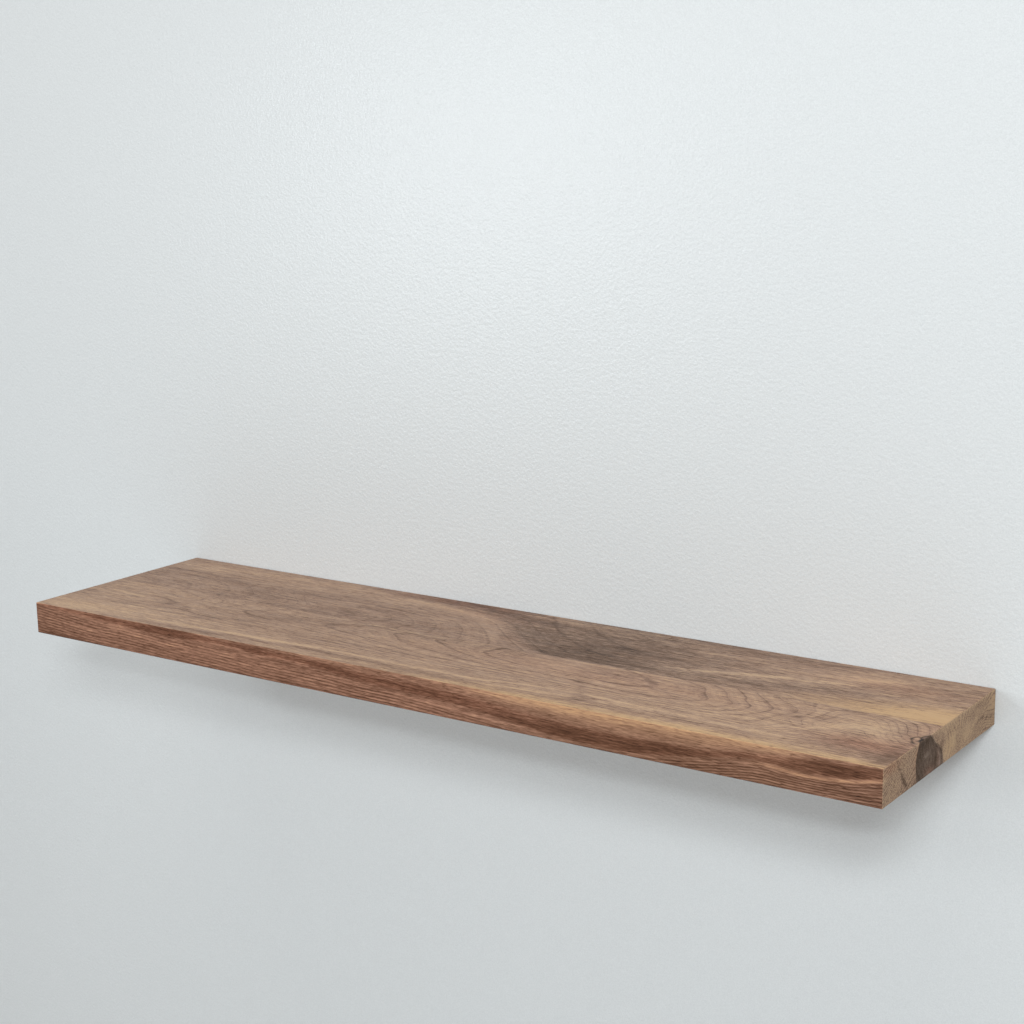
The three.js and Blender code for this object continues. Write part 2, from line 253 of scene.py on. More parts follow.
def ring_field(rings, places, squash=3.0, smoothing=200.0):
    """Ring numbers at places: a thin plate through the rings' own places.

    squash stretches distances across the grain. With more smoothing the plate bends less.
    """
    points = np.concatenate([np.reshape(row[1:], (-1, 2)) for row in rings]) * (1.0, squash)
    values = np.concatenate([np.full(len(row) // 2, row[0]) for row in rings])
    kernel = thin_plate(points, points)
    np.fill_diagonal(kernel, smoothing)
    flat = np.c_[np.ones(len(points)), points]
    system = np.block([[kernel, flat], [flat.T, np.zeros((3, 3))]])
    weights = np.linalg.solve(system, np.r_[values, np.zeros(3)])
    result = np.empty(len(places))
    for start in range(0, len(places), FIELD_CHUNK):
        part = places[start:start + FIELD_CHUNK] * (1.0, squash)
        bent = thin_plate(part, points) @ weights[:-3]
        result[start:start + FIELD_CHUNK] = bent + weights[-3] + part @ weights[-2:]
    return result


def smoothstep(value, low, high):
    """A smooth rise from 0 at low to 1 at high."""
    t = np.clip((value - low) / (high - low), 0, 1)
    return t * t * (3 - 2 * t)


def between(value, low, full, full_end, end):
    """Rises from 0 at low to 1 at full, and falls from 1 at full_end to 0 at end."""
    return smoothstep(value, low, full) * (1 - smoothstep(value, full_end, end))


def bell(value, width):
    """1 where value is 0, falling softly to both sides."""
    return np.exp(-((value / width) ** 2))


# What a face carries at each place, as three vector attributes. figure: the ring number, how strongly
# rings show, and how light the wood is, from 0 to 1. tint: three tints. Fibres stand out more with
# more olive, and less where it is negative. mark: the knot, its cracks and its rim.
ATTRIBUTES = {
    "figure": ("ring", "lines", "tone"),
    "tint": ("amber", "olive", "red"),
    "mark": ("knot", "crack", "rim"),
}
CHANNELS = sum(ATTRIBUTES.values(), ())
PLAIN_TONE = 0.645
PLAIN_LINES = 0.5
STROKE_POINTS = 4


class Face:
    """The figure of one face, painted at a list of places in millimetres."""

    def __init__(self, places):
        self.places = places
        for channel in CHANNELS:
            setattr(self, channel, np.zeros(len(places)))
        self.tone += PLAIN_TONE
        self.lines += PLAIN_LINES

    def stroke(self, channel, points, width, amount):
        """Adds amount along a smooth line, fading to its sides over width and at its ends."""
        curve = smooth_line(points, STROKE_POINTS)
        # Past three widths nothing of it is left.
        reach = 3 * width
        low, high = curve.min(0) - reach, curve.max(0) + reach
        near = np.flatnonzero(((self.places >= low) & (self.places <= high)).all(1))
        if not len(near):
            return
        places = self.places[near]
        best = np.zeros(len(near))
        count = len(curve) - 1
        # Each end fades over about a sixth of the line.
        for number, (a, b) in enumerate(pairwise(curve)):
            run = b - a
            share = np.clip(((places - a) @ run) / max(run @ run, 1e-9), 0, 1)
            gap = np.linalg.norm(places - (a + share[:, None] * run), axis=1)
            place = (number + share) / count
            fade = np.sqrt(np.clip(np.minimum(place, 1 - place) * 5 + 0.15, 0, 1))
            best = np.maximum(best, fade * bell(gap, width))
        getattr(self, channel)[near] += amount * best

    def spot(self, channel, centre, size, amount, turn=0.0):
        """Adds amount in a soft oval. turn is in degrees."""
        gap = self.places - centre
        angle = math.radians(turn)
        along = gap[:, 0] * math.cos(angle) + gap[:, 1] * math.sin(angle)
        across = gap[:, 1] * math.cos(angle) - gap[:, 0] * math.sin(angle)
        oval = bell(along, size[0]) * bell(across, size[1])
        getattr(self, channel)[:] += amount * oval

    def spots(self, channel, rows):
        """Soft ovals: each row has a place, a size, an amount in thousandths and maybe a turn."""
        for x, y, width, height, amount, *turn in rows:
            self.spot(channel, (x, y), (width, height), amount / 1000, *turn)

    def strokes(self, channel, rows):
        """Soft lines: each row has a width, an amount in thousandths and the places on the line."""
        for width, amount, *places in rows:
            self.stroke(channel, list(zip(places[::2], places[1::2])), width, amount / 1000)


def paint_front_top(face):
    """The front stave's top: a long cathedral, a sapwood line and the grain round the end's knot."""
    x, depth = face.places.T
    face.ring = ring_field(FRONT_TOP_RINGS, face.places)
    face.tone += 0.041
    face.amber += 0.12
    # The sapwood line, the darker band in front of it, and the shorter second line.
    sapwood = depth - height_at(SAPWOOD_LINE, x)
    shown = between(x, -440, -330, 440, 500)
    broad = 1 + 0.7 * between(x, -330, -280, -190, -150)
    face.tone += 0.13 * shown * bell(sapwood, 2.6 * broad)
    face.tone -= 0.07 * shown * (1 - smoothstep(x, 60, 200)) * bell(sapwood - 10, 5.0)
    second = depth - height_at(SECOND_SAPWOOD_LINE, x)
    face.tone += 0.10 * between(x, 90, 120, 290, 330) * bell(second, 2.5)
    # Warm wood along the front arris, wider to the right.
    warm = smoothstep(depth, 286, 303) * smoothstep(x, -80, 160)
    face.tone += 0.115 * warm * (0.75 + 0.25 * smoothstep(x, 200, 380))
    face.amber += 0.9 * warm + 0.35 * smoothstep(depth, 262, 296) * smoothstep(x, -330, 60)
    face.lines += 0.25 * smoothstep(x, -260, 0) - 0.3 * smoothstep(depth, 276, 292)
    face.spots("lines", (
        (170, 178, 130, 26, -500), (475, 218, 26, 22, -250), (474, 164, 24, 12, -300),
        (560, 216, 48, 40, -80), (-330, 250, 200, 28, 250),
    ))
    # Round the knot the rings crowd together.
    face.ring += 2.2 * (face.ring - 6.5) * smoothstep(x, 495, 535)
    face.spots("tone", (
        (-550, 287, 75, 13, 75, -2), (-470, 262, 150, 16, 20), (-595, 196, 14, 40, -20),
        (-452, 214, 26, 12, -60, 20), (-268, 192, 62, 16, -65, 4), (-330, 208, 60, 14, -30, 10),
        (-95, 168, 110, 13, -30, 3), (40, 158, 90, 9, -50), (20, 206, 60, 10, -20, 8),
        (-360, 287, 34, 5, 50), (-300, 296, 50, 5, -40), (-90, 288, 70, 7, -40), (30, 291, 70, 6, -30),
        (90, 286, 30, 4, -50, -3), (236, 274, 13, 15, -100, 8), (250, 268, 12, 5, -50),
        (390, 280, 80, 5, -55), (305, 282, 30, 4, -40), (430, 236, 60, 14, 35, -12),
        (548, 198, 34, 16, 65), (503, 221, 20, 7, 50, -42), (130, 275, 35, 4, 50, -3),
        (604, 275, 14, 24, -50), (483, 190, 7, 14, 60), (465, 268, 22, 9, 50), (532, 236, 14, 6, 50),
        (560, 240, 12, 6, 30), (-205, 178, 18, 12, -50), (-275, 178, 30, 12, 30),
        (-520, 172, 110, 16, 30), (-420, 287, 60, 5, 40), (-500, 248, 80, 8, 20),
        (530, 196, 18, 8, 60), (545, 226, 12, 9, -50), (574, 214, 14, 8, 30, 40),
        (585, 195, 10, 14, -90), (462, 245, 20, 12, 40), (560, 252, 46, 17, -85, 4),
        (604, 262, 14, 16, -100), (596, 286, 16, 10, -50), (598, 232, 14, 22, -60),
        (600, 176, 18, 22, -50), (590, 206, 16, 10, 20), (340, 300, 170, 5, 20),
        (-240, 170, 60, 12, -35), (-500, 272, 110, 14, 30), (-550, 214, 25, 8, 45),
        (-330, 238, 70, 9, -30), (-160, 240, 200, 12, -30), (300, 166, 50, 7, 30),
        (230, 180, 40, 13, -40), (75, 173, 24, 8, -45), (540, 172, 40, 12, 50), (605, 178, 20, 12, 50),
        (80, 284, 80, 5, 60), (380, 283, 90, 4, 45), (170, 276, 30, 5, 40), (570, 276, 30, 8, -60),
        (602, 292, 15, 11, -80), (205, 220.5, 13, 3, -120), (470, 204.5, 7, 3, -240),
        (459, 192, 9, 3, -70), (492, 197, 10, 3.5, -70, -20), (-560, 292, 60, 8, 50),
        (-560, 258, 60, 12, 30), (-200, 293, 50, 6, 45), (-80, 293, 50, 6, 50), (385, 293, 45, 6, 65),
        (480, 292, 30, 6, 30), (480, 275, 25, 6, 50), (385, 236, 40, 12, 30), (290, 236, 40, 10, 30),
        (290, 258, 40, 7, 30), (575, 258, 30, 10, 35), (-200, 175, 40, 10, -30),
        (380, 175, 30, 10, 30), (597, 175, 12, 12, 40), (-560, 205, 40, 10, 35), (480, 206, 20, 7, 50),
        (-380, 278, 230, 20, 22), (-460, 205, 130, 14, 15), (165, 175, 30, 10, 25),
        (480, 174, 20, 12, 35), (560, 178, 20, 8, 20), (285, 275, 35, 6, -20), (380, 275, 40, 6, -32),
        (580, 275, 42, 7, -32), (160, 292, 40, 6, -30), (603, 208, 4, 7, 50),
    ))
    face.strokes("tone", (
        (3.5, -60, -500, 195, -474, 196, -456, 203, -440, 209, -450, 217),
        (4, -90, -380, 240, -354, 237, -320, 231, -296, 227),
        (3.5, -70, -332, 195, -312, 203, -290, 206, -274, 210),
        (3, -40, -560, 246, -482, 245, -440, 248, -398, 246),
        (2.5, 35, -520, 190, -440, 187, -390, 190),
        (3, 30, -490, 250, -430, 241, -390, 236),
        (3, -85, 236, 169, 262, 170.5, 290, 168, 338, 169.5),
        (3, -60, 180, 166, 196, 167.5, 214, 167),
        (3, -75, 286, 201, 306, 204, 322, 212, 334, 214),
        (4, 30, 262, 194, 280, 197, 292, 190),
        (4.5, 70, 446, 253, 480, 242, 500, 227, 518, 213, 536, 203),
        (4, 50, 552, 205, 566, 220, 584, 238, 609, 254),
        (3, -30, 500, 158, 520, 160, 545, 157),
        (3, -50, 562, 268, 590, 268, 608, 269),
    ))
    face.spots("red", (
        (566, 250, 50, 22, 800), (600, 200, 12, 46, 300), (230, 190, 240, 32, 250),
    ))
    face.spots("olive", (
        (-40, 160, 140, 14, 350), (548, 196, 44, 20, 300),
    ))
    # The knot breaks the end here: bark lines curl round its top.
    face.strokes("crack", (
        (1.3, 1000, 609, 221, 604, 219, 600, 212, 597.5, 206, 600, 200, 604, 199),
        (1.5, 1000, 605, 213, 607.5, 206, 605.5, 200, 607, 193, 609.6, 189),
        (1.1, 1000, 609.6, 214, 608, 209, 609, 202),
    ))
    face.spot("knot", (610, 199), (2.6, 11), 0.9)


def paint_rear_top(face):
    """The rear stave's top: a dark field past a pale boundary, with pale streaks and a warm corner."""
    x, depth = face.places.T
    face.ring = ring_field(REAR_TOP_RINGS, face.places)
    face.lines -= 0.12
    face.tone += 0.026
    # The boundary between the plain wood and the dark field.
    boundary = face.ring - 6.4
    past = smoothstep(boundary, -0.3, 0.9) * between(x, -200, 60, 150, 420)
    face.tone -= 0.09 * past
    face.olive += 0.75 * past
    face.spots("tone", (
        (-540, 34, 90, 22, 35), (-400, 24, 60, 12, 30), (-150, 44, 60, 16, 25),
        (-540, 120, 70, 26, -25), (-470, 80, 110, 14, -60, 8), (-585, 68, 24, 7, -70),
        (-585, 98, 18, 12, -60), (-370, 112, 46, 12, -50, 4), (-330, 80, 80, 8, -50),
        (-400, 136, 60, 16, -30), (-220, 84, 70, 14, -50, 10), (-195, 97, 34, 6, -70, 12),
        (-180, 120, 80, 30, -35, 10), (-310, 38, 18, 4, -50), (-572, 112, 24, 8, 45),
        (-545, 47, 40, 8, 30), (-478, 100, 16, 5, 35), (-447, 112, 20, 8, 40, 10),
        (-585, 138, 22, 6, 40), (-242, 88, 26, 6, 50), (-185, 108, 24, 6, 45, 14),
        (-60, 140, 60, 16, -20), (-100, 12, 95, 11, -120), (-10, 24, 70, 14, -90, 8),
        (30, 70, 36, 34, -50, 30), (150, 138, 75, 16, -90), (170, 92, 90, 34, -65),
        (104, 143, 16, 3.5, -60, 18), (300, 140, 60, 9, -50), (290, 72, 90, 26, -30, -8),
        (300, 14, 90, 10, -60), (310, 30, 36, 8, -40, -6), (128, 37, 14, 3, -90),
        (192, 81, 22, 2.6, -110), (255, 86, 16, 4, -50), (400, 118, 60, 10, -55, -10),
        (520, 58, 60, 12, -45, -6), (470, 100, 40, 12, -50, -14), (590, 40, 30, 14, -40),
        (-20, 14, 55, 8, 75), (40, 14, 44, 11, 90), (100, 16, 40, 7, 40), (22, 95, 16, 10, -40, 50),
        (185, 138, 32, 9, -35), (602, 148, 14, 18, 60), (-480, 26, 130, 13, 30),
        (-290, 146, 60, 6, -40), (-240, 90, 34, 5, 35), (-530, 74, 50, 5, 30), (130, 10, 40, 7, 50),
        (205, 12, 14, 8, 50), (20, 66, 36, 8, 50, 10), (-240, 146, 60, 9, -65),
        (-230, 82, 40, 8, 50, 6), (-540, 108, 26, 6, 45), (-240, 122, 110, 16, -20),
        (385, 145, 42, 6, -80), (392, 92, 20, 5, -50, -10), (440, 70, 45, 7, 50, -8),
        (512, 46, 26, 8, 50, -8), (-200, 20, 50, 12, -40), (380, 20, 70, 12, -65),
        (390, 56, 50, 7, -40), (160, 50, 50, 12, -35), (160, 110, 80, 30, -45),
        (-80, 130, 60, 14, -50), (60, 120, 50, 20, -35), (390, 128, 50, 9, -60),
        (500, 130, 40, 14, 30), (500, 148, 110, 9, 85), (580, 130, 60, 20, 130, -16),
        (610, 104, 50, 14, 60, -10), (470, 30, 60, 10, 20), (585, 130, 50, 18, 90),
        (285, 50, 30, 9, 30), (-400, 30, 230, 30, 16), (-330, 50, 50, 14, 40), (-200, 50, 40, 14, 35),
        (-560, 50, 40, 12, 25), (160, 50, 30, 12, 30), (480, 50, 25, 9, 35), (-200, 90, 40, 8, 30),
        (-330, 18, 50, 10, 40), (160, 18, 40, 8, 20), (280, 18, 40, 8, 30), (588, 130, 40, 13, 40),
    ))
    face.strokes("tone", (
        (4.5, 50, -317, 25, -242, 23, -200, 29.5, -150, 36, -105, 44, -55, 54, -17, 71),
        (5, 40, -17, 71, 3, 87, 24, 107, 51, 127, 76, 145),
        (6, 35, -45, 66, -10, 88, 6, 108, 26, 134),
        (6, 30, -10, 36, 20, 46, 40, 62),
        (4, -80, -219, 146, -205, 137, -199, 129),
        (3, -70, -205, 74, -195, 80, -160, 82, -115, 90),
        (3, -50, -150, 92, -143, 104, -136, 118, -150, 138),
        (3, -50, -110, 112, -100, 120, -108, 136),
        (2.5, -50, -75, 92, -55, 103, -44, 112),
        (1.8, -100, 40, 14, 48, 28, 60, 43, 64, 50, 82, 64, 98, 77),
        (2.6, -70, 94, 139, 106, 141, 118, 147, 150, 150),
        (5, 50, -250, 20, -200, 30, -150, 37, -100, 44, -50, 52, -12, 66),
        (4.5, -50, 4, 92, 30, 110, 60, 126, 95, 141),
        (6, -50, 195, 132, 260, 113, 340, 99),
        (3.6, 120, 226, 121, 262, 120, 317, 110),
        (5.5, 170, 300, 112, 340, 102, 372, 93, 400, 87),
        (4.5, 150, 380, 89, 430, 82, 460, 74, 482, 69),
        (4.6, 120, 350, 61, 400, 58, 455, 54, 493, 44, 522, 36),
        (5, 50, 440, 44, 480, 40, 520, 36),
        (3.6, 70, 250, 50, 280, 46, 343, 37, 380, 26, 405, 19),
        (3.5, -50, 310, 117, 350, 107, 400, 95),
        (4, 30, 470, 20, 510, 26, 540, 22),
        (5, 30, 560, 150, 585, 140, 609, 138),
    ))
    warm = smoothstep(depth + 0.16 * (x - 400), 112, 146) * smoothstep(x, 360, 520)
    face.amber += 0.95 * warm
    face.amber += 0.25 * smoothstep(x, 460, 600)
    face.spot("olive", (380, 110), (160, 30), 0.3, -12)
    face.spots("red", (
        (-100, 10, 110, 12, 700), (-20, 40, 70, 20, 300), (520, 56, 80, 22, 350),
    ))


def paint_front_edge(face):
    """The front stave's front edge: stripes follow a pale ring, with dark and then pale wood above it."""
    x, down = face.places.T
    below = down - height_at(FRONT_EDGE_PALE_RING, x)
    dark_top = height_at(FRONT_EDGE_DARK_TOP, x)
    dark_foot = height_at(FRONT_EDGE_DARK_FOOT, x)
    sway = 0.35 * np.sin(x / 71) + 0.12 * np.sin(x / 23 + 1)
    face.ring = below / height_at(FRONT_EDGE_STRIPE_WIDTH, x)
    face.ring += sway * (1 - 0.9 * smoothstep(x, 250, 400))
    face.lines += 0.04 + 0.06 * smoothstep(x, -200, 0) + 0.03 * smoothstep(x, 350, 450)
    # Stripes show below the pale ring, and hardly above it.
    face.lines += 0.33 * smoothstep(below, 0, 5) - 0.35 * (1 - smoothstep(below, -4, 0))
    # Darker all over and more so towards the foot, with painted shade along the eased bottom edge.
    face.tone -= 0.060 + 0.018 * smoothstep(down, 24, 36) + 0.05 * smoothstep(down, 39.5, 41.5)
    # The dark wood.
    dark = between(down, dark_top - 3, dark_top + 4, dark_foot - 1, dark_foot + 2.5)
    face.tone -= dark * height_at(FRONT_EDGE_DARKNESS, x)
    # The pale ring itself, brightest towards the right.
    line = bell(below, 1.5 + 0.5 * smoothstep(x, 440, 500))
    strength = 0.055 + 0.14 * smoothstep(x, 440, 510)
    strength += 0.02 * between(x, -40, 60, 120, 180)
    face.tone += strength * line * (1 - between(x, 150, 200, 400, 470))
    # The pale, warm wood above the dark.
    pale = 1 - smoothstep(down, 0.1 * dark_top, dark_top + 4)
    paleness = height_at(FRONT_EDGE_PALENESS, x)
    face.tone += 0.20 * pale * paleness
    face.tone -= 0.02 * smoothstep(x, 60, 220)
    face.amber += 0.85 * pale * paleness
    face.amber += 0.25 * between(x, 100, 300, 460, 600)
    face.amber += 0.1 + 0.8 * line * smoothstep(x, 440, 510)
    face.red += 0.95 + 0.3 * dark - 0.25 * pale * paleness - 0.2 * smoothstep(x, 60, 250)
    face.lines -= 0.2 * pale * paleness
    face.olive -= 0.45 * smoothstep(x, 0, 350)
    face.spots("tone", (
        (-590, 34, 60, 7, -35, 4), (-398, 12, 30, 4, -50, 2), (-130, 18, 30, 3, -30),
        (440, 26, 26, 3, -30), (470, 11, 22, 3, -30), (420, 4, 34, 3, -30), (400, 37, 40, 4, -50),
        (-550, 38, 40, 3, -60, 3), (-460, 10, 50, 3, 50, 2), (-250, 4, 60, 4, -40),
        (-480, 17, 40, 4, -20), (180, 10, 60, 4, -40), (340, 10, 60, 4, -40), (420, 3, 40, 5, -40),
        (255, 2, 30, 3, 70), (-10, 34, 50, 5, 35), (315, 35, 30, 3, 40), (232, 15, 14, 3, -40),
        (-140, 16, 46, 2.5, -30), (335, 6, 40, 3.5, -50), (385, 12, 32, 4, -60), (60, 35, 100, 6, 35),
        (-530, 34, 70, 5, 30, 2), (220, 35, 50, 4, 40), (215, 21, 30, 4, 40), (510, 8, 24, 3, 50),
        (-590, 38, 20, 4, -40), (-165, 6, 45, 3.5, -50), (-15, 14, 40, 4, 30), (215, 13, 24, 4, -50),
        (450, 12, 50, 4, 30), (575, 1.5, 40, 2, 80), (595, 28, 14, 8, -30),
        (-430, 16, 80, 3.5, 45, 2.4), (-560, 20, 40, 4, 30, 3), (-330, 24, 120, 6, 20, 1.5),
        (-420, 36, 100, 4, -20, 2), (-150, 36, 140, 5, -20), (60, 36, 120, 4, -20, 1),
        (230, 30, 40, 3, -30), (545, 34, 60, 6, -15, 2), (240, 39, 40, 1.6, 50),
        (300, 39, 40, 1.4, 60), (490, 5, 60, 3, 15), (600, 30, 20, 12, -40), (-520, 40, 60, 3, -30),
        (-440, 9, 60, 4, 35), (-277, 9, 25, 5, 30), (270, 39, 30, 2.5, -40), (245, 16, 30, 3, -50),
        (352, 6, 22, 3, -50), (220, 4, 25, 2.5, -35), (-10, 20, 50, 2.5, -30), (45, 30, 22, 2.5, -40),
        (-80, 35, 60, 3, 35), (142, 10, 20, 3, -40), (505, 22, 28, 3.5, -55), (472, 38, 22, 3, -50),
        (350, 32, 25, 3, 30), (565, 12, 20, 2, -30), (-330, 11, 25, 4, -50), (40, 11, 30, 4, -30),
        (560, 10, 24, 3, -30), (-80, 18, 30, 3.5, -30), (480, 17.5, 20, 2.2, -45),
        (-200, 25, 30, 3.5, -30), (380, 25, 25, 3, -25), (560, 25, 20, 3, -30),
        (-500, 32, 70, 3.5, -35), (40, 38, 30, 3, -25), (160, 38, 30, 3, -25), (480, 4, 30, 3, -25),
    ))
    face.strokes("tone", (
        (1.2, 110, -316, 8, -304, 8.2, -292, 8),
        (0.9, 160, -292, 7.6, -270, 8.8, -242, 9.2),
        (1, 150, -218, 13, -204, 12.6, -190, 10.8, -156, 10.6),
        (1, 130, -146, 10.8, -136, 11.8, -126, 11.8),
        (1.6, 60, -560, 19.5, -530, 21.5, -505, 24, -480, 25),
        (1.2, 70, -480, 13.8, -470, 15, -455, 15.6),
        (1.8, 50, 100, 11, 130, 13, 165, 17, 215, 20.5),
        (1.4, 100, 470, 9, 476, 12, 481, 13),
        (1.2, 50, 330, 38.6, 352, 36, 380, 33, 410, 29.5, 440, 26.3, 468, 24.8),
        (2, 40, 404, 13, 425, 12.6),
    ))


# The knot's sides on the right end: places down from the top, then millimetres from the front.
KNOT_LEFT_SIDE = ((0, 8, 18, 30, 42), (90.5, 85.5, 81.5, 82.5, 85))
KNOT_RIGHT_SIDE = ((0, 5, 12, 19, 24, 32, 42), (119.5, 125.5, 132.5, 142.5, 149.5, 152.5, 154.5))


def paint_right_end(face):
    """The end that shows: a dark knot breaks through it, with grain curving to its right."""
    along, down = face.places.T
    face.ring = 2 * ring_field(RIGHT_END_RINGS, face.places, squash=1.0, smoothing=60.0)
    face.lines += 0.4
    face.tone += 0.05
    face.tone += 0.035 * smoothstep(along, 150, 170)
    face.olive += 0.5
    face.amber += 0.2
    # Painted highlights: thin light lines where the end's eased edges meet the top and the front.
    face.tone += 0.06 * (1 - smoothstep(down, 0.5, 2.0))
    face.tone += 0.05 * (1 - smoothstep(along, 0.5, 1.8))
    # The knot has dark cracks along its sides, and a pale rim outside the left one.
    left_side = np.interp(down, *KNOT_LEFT_SIDE)
    right_side = np.interp(down, *KNOT_RIGHT_SIDE)
    inside = between(along, left_side - 0.8, left_side + 0.8, right_side - 0.9, right_side + 0.9)
    face.knot += inside
    across = (along - left_side) / (right_side - left_side)
    face.ring = np.where(inside > 0.5, 8 * np.abs(across - 0.45) + down / 18, face.ring)
    rim = bell(along - left_side + 2.6, 1.6)
    face.rim += 0.55 * rim * (1 - 0.7 * smoothstep(down, 12, 30))
    left_crack = bell(along - left_side, 0.9)
    face.crack += left_crack * (1 - 0.6 * smoothstep(down, 8, 30)) * 0.8
    face.crack += bell(along - right_side, 1.6) * smoothstep(down, 14, 22) * 0.35
    # Inside the knot: a paler core that widens downwards, and a reddish band along its right side.
    core = inside * bell(across - 0.50, 0.17) * smoothstep(down, 8, 24)
    face.tone += 0.045 * core
    band = inside * bell(across - 0.86, 0.09) * smoothstep(down, 10, 24)
    face.tone += 0.12 * band
    face.red += 0.5 * band
    face.tone -= 0.05 * inside * (1 - smoothstep(down, 0, 14))
    face.spots("tone", (
        (65, 20, 14, 26, 20), (12, 5, 16, 6, -30, -20), (3, 14, 5, 4, 100, -20),
        (53, 28, 4, 8, -50, 60), (60, 40, 20, 6, -40), (168, 28, 16, 13, 90, 10),
        (185, 24, 4, 10, 80, 12), (190, 11, 3, 6, 70), (182, 13, 3, 5, -50), (197, 24, 5, 6, 40),
        (160, 37, 9, 8, 60), (158, 2, 16, 3, 100), (185, 2, 20, 3, 50), (150, 17, 8, 3, -80),
        (172, 12, 16, 4, -50), (196, 32, 7, 12, -70, 30), (190, 12, 5, 8, -30),
        (221, 25, 9, 9, 130, -40), (241, 35, 5, 4, 50), (162, 9, 9, 4, 70), (182, 5, 6, 2.5, 80),
        (176, 27, 9, 9, 40), (79, 2, 4, 3, -70), (137, 25, 3, 7, -60), (239, 36, 6, 4, 40),
        (280, 27, 8, 3, 40), (158, 17, 4, 3, -50), (204, 8, 12, 6, 20), (240, 36, 8, 10, -20, 40),
        (256, 6, 16, 6, -40), (295, 13, 9, 8, 90), (290, 34, 14, 5, 30), (118, 39, 11, 4, 130),
        (134, 34, 4, 8, -50), (4, 30, 3, 14, -30), (79, 30, 5, 16, -40), (97, 5, 6, 4, -30),
        (135, 21, 5, 6, -35), (219, 13, 7, 5, -35), (240, 13, 7, 5, -30), (280, 5, 8, 4, -35),
        (298, 9, 8, 6, 45), (183, 23, 7, 8, 40), (218, 29, 7, 5, 30), (148, 38, 6, 4, 40),
        (43, 38, 6, 4, -35), (180, 12, 7, 13, 42), (299, 9, 5, 9, 42), (80, 37, 5, 6, -45),
        (201, 26, 6, 7, 30),
    ))
    face.strokes("tone", (
        (2, 50, 0, 15, 8, 12, 18, 7),
        (3, 60, 101, 21, 110, 18, 120, 20),
        (1.5, -120, 32, 0, 36, 7, 40, 13, 45, 20),
        (2.4, -180, 45, 20, 49, 26, 54, 32, 60, 37),
        (1.2, -130, 250, 26, 255, 21.5, 262, 21.5, 276, 25),
        (1.2, -120, 276, 25, 290, 28.5, 305, 31),
        (1.4, -100, 286, 0, 296, 3, 305, 5),
        (1, -60, 257, 35, 275, 38, 295, 42),
        (2.4, 50, 225, 38, 240, 23, 256, 12),
        (2, -30, 236, 40, 250, 28),
        (1.2, -60, 152, 0, 151, 8, 150, 14),
        (2, -120, 145, 17, 148.5, 22, 151, 28),
        (1.5, 100, 138, 17, 141, 23, 145, 30),
        (2.5, 60, 222, 32, 236, 24, 246, 18),
        (1.6, -60, 180, 4, 188, 12, 190, 22, 184, 34),
    ))
    face.strokes("crack", (
        (0.9, 220, 33, 0, 37, 8, 42, 15),
        (1.2, 380, 44, 19, 48, 24, 53, 31, 58, 35),
        (0.9, 300, 252, 24, 257, 21, 264, 22, 280, 26, 304, 31),
        (0.9, 250, 286, 0, 296, 3, 304, 5),
    ))
    face.spots("red", (
        (16, 5, 26, 7, 600), (118, 38, 14, 6, 1000),
    ))
    face.spot("amber", (172, 28), (20, 14), 0.3)


# Where the staves meet, in millimetres from the front and from the back alike.
STAVES_MEET = 152.4


def paint_left_end(face):
    """The other end: arcs of end grain, a different one on each stave."""
    along, down = face.places.T
    front = np.hypot((along - 96) * 0.8, down + 46)
    rear = np.hypot((along - 232) * 0.8, 108 - down)
    face.ring = np.where(along < STAVES_MEET, front, rear) / 3.4
    face.lines += 0.15
    face.tone -= 0.03
    face.olive += 0.3
    face.spots("tone", (
        (60, 20, 26, 18, 30), (110, 34, 30, 10, -40), (232, 10, 40, 12, -40), (190, 32, 18, 10, 40),
    ))
    face.strokes("tone", (
        (1.2, -70, 196, 6, 206, 16, 212, 27, 222, 36),
    ))


def paint_underside(face):
    """The underside: a cathedral on each stave, and the knot that comes through at the right end."""
    x, depth = face.places.T
    front = np.abs(depth - 232 - 9 * np.sin(x / 160)) / 9.0
    rear = np.abs(depth - 74 - 8 * np.sin(x / 210 + 2)) / 11.0
    bow = np.where(depth > STAVES_MEET, front**1.5 - x / 105, rear**1.6 + x / 150)
    face.ring = bow + 0.4 * np.sin(x / 61) + 0.3 * np.sin(x / 23 + depth / 30)
    near_knot = bell(x - 612, 46) * bell(depth - 184, 34)
    face.ring += 9 * near_knot
    face.lines += 0.35
    face.red += 0.2
    sapwood = depth - 286 + 5 * np.sin(x / 190)
    face.tone += 0.05 * bell(sapwood, 5) * (1 - smoothstep(x, 160, 330))
    # The knot's sides on the right end reach the underside 85 and 154.5 mm from the front.
    knot = np.exp(-(((x - 610) / 30) ** 4) - ((depth - 184.5) / 35) ** 4)
    face.knot += smoothstep(knot, 0.25, 0.55)
    face.crack += bell(knot - 0.4, 0.16) * 0.6
    face.spots("tone", (
        (-430, 230, 120, 22, -60), (-120, 262, 160, 18, 40), (140, 200, 150, 20, -65),
        (430, 250, 120, 24, 30), (-380, 60, 150, 30, 30), (40, 96, 160, 26, -50),
        (360, 50, 140, 30, 20),
    ))
    face.spot("amber", (300, 296), (260, 10), 0.5)
    face.spot("olive", (60, 96), (200, 40), 0.5)


def paint_back(face):
    """The back: straight grain, seen only with the board off the wall."""
    x, down = face.places.T
    face.ring = (down + 3 * np.sin(x / 170)) / 2.6 + 0.3 * np.sin(x / 31)
    face.tone -= 0.02
    face.red += 0.3
    face.spots("tone", (
        (-150, 8, 200, 6, -40), (330, 30, 160, 7, 30),
    ))


def paint_cut(face):
    """Faces made by cutters inside the board: plain and a little darker."""
    face.lines *= 0
    face.tone -= 0.05
    face.ring = face.places[:, 1] / 3.0


# The numbers of a place on a face, in millimetres, for points in metres.
def along_board(points):
    return points[:, 0] / MM


def from_front(points):
    return (points[:, 1] + DEPTH) / MM


def from_back(points):
    return -points[:, 1] / MM


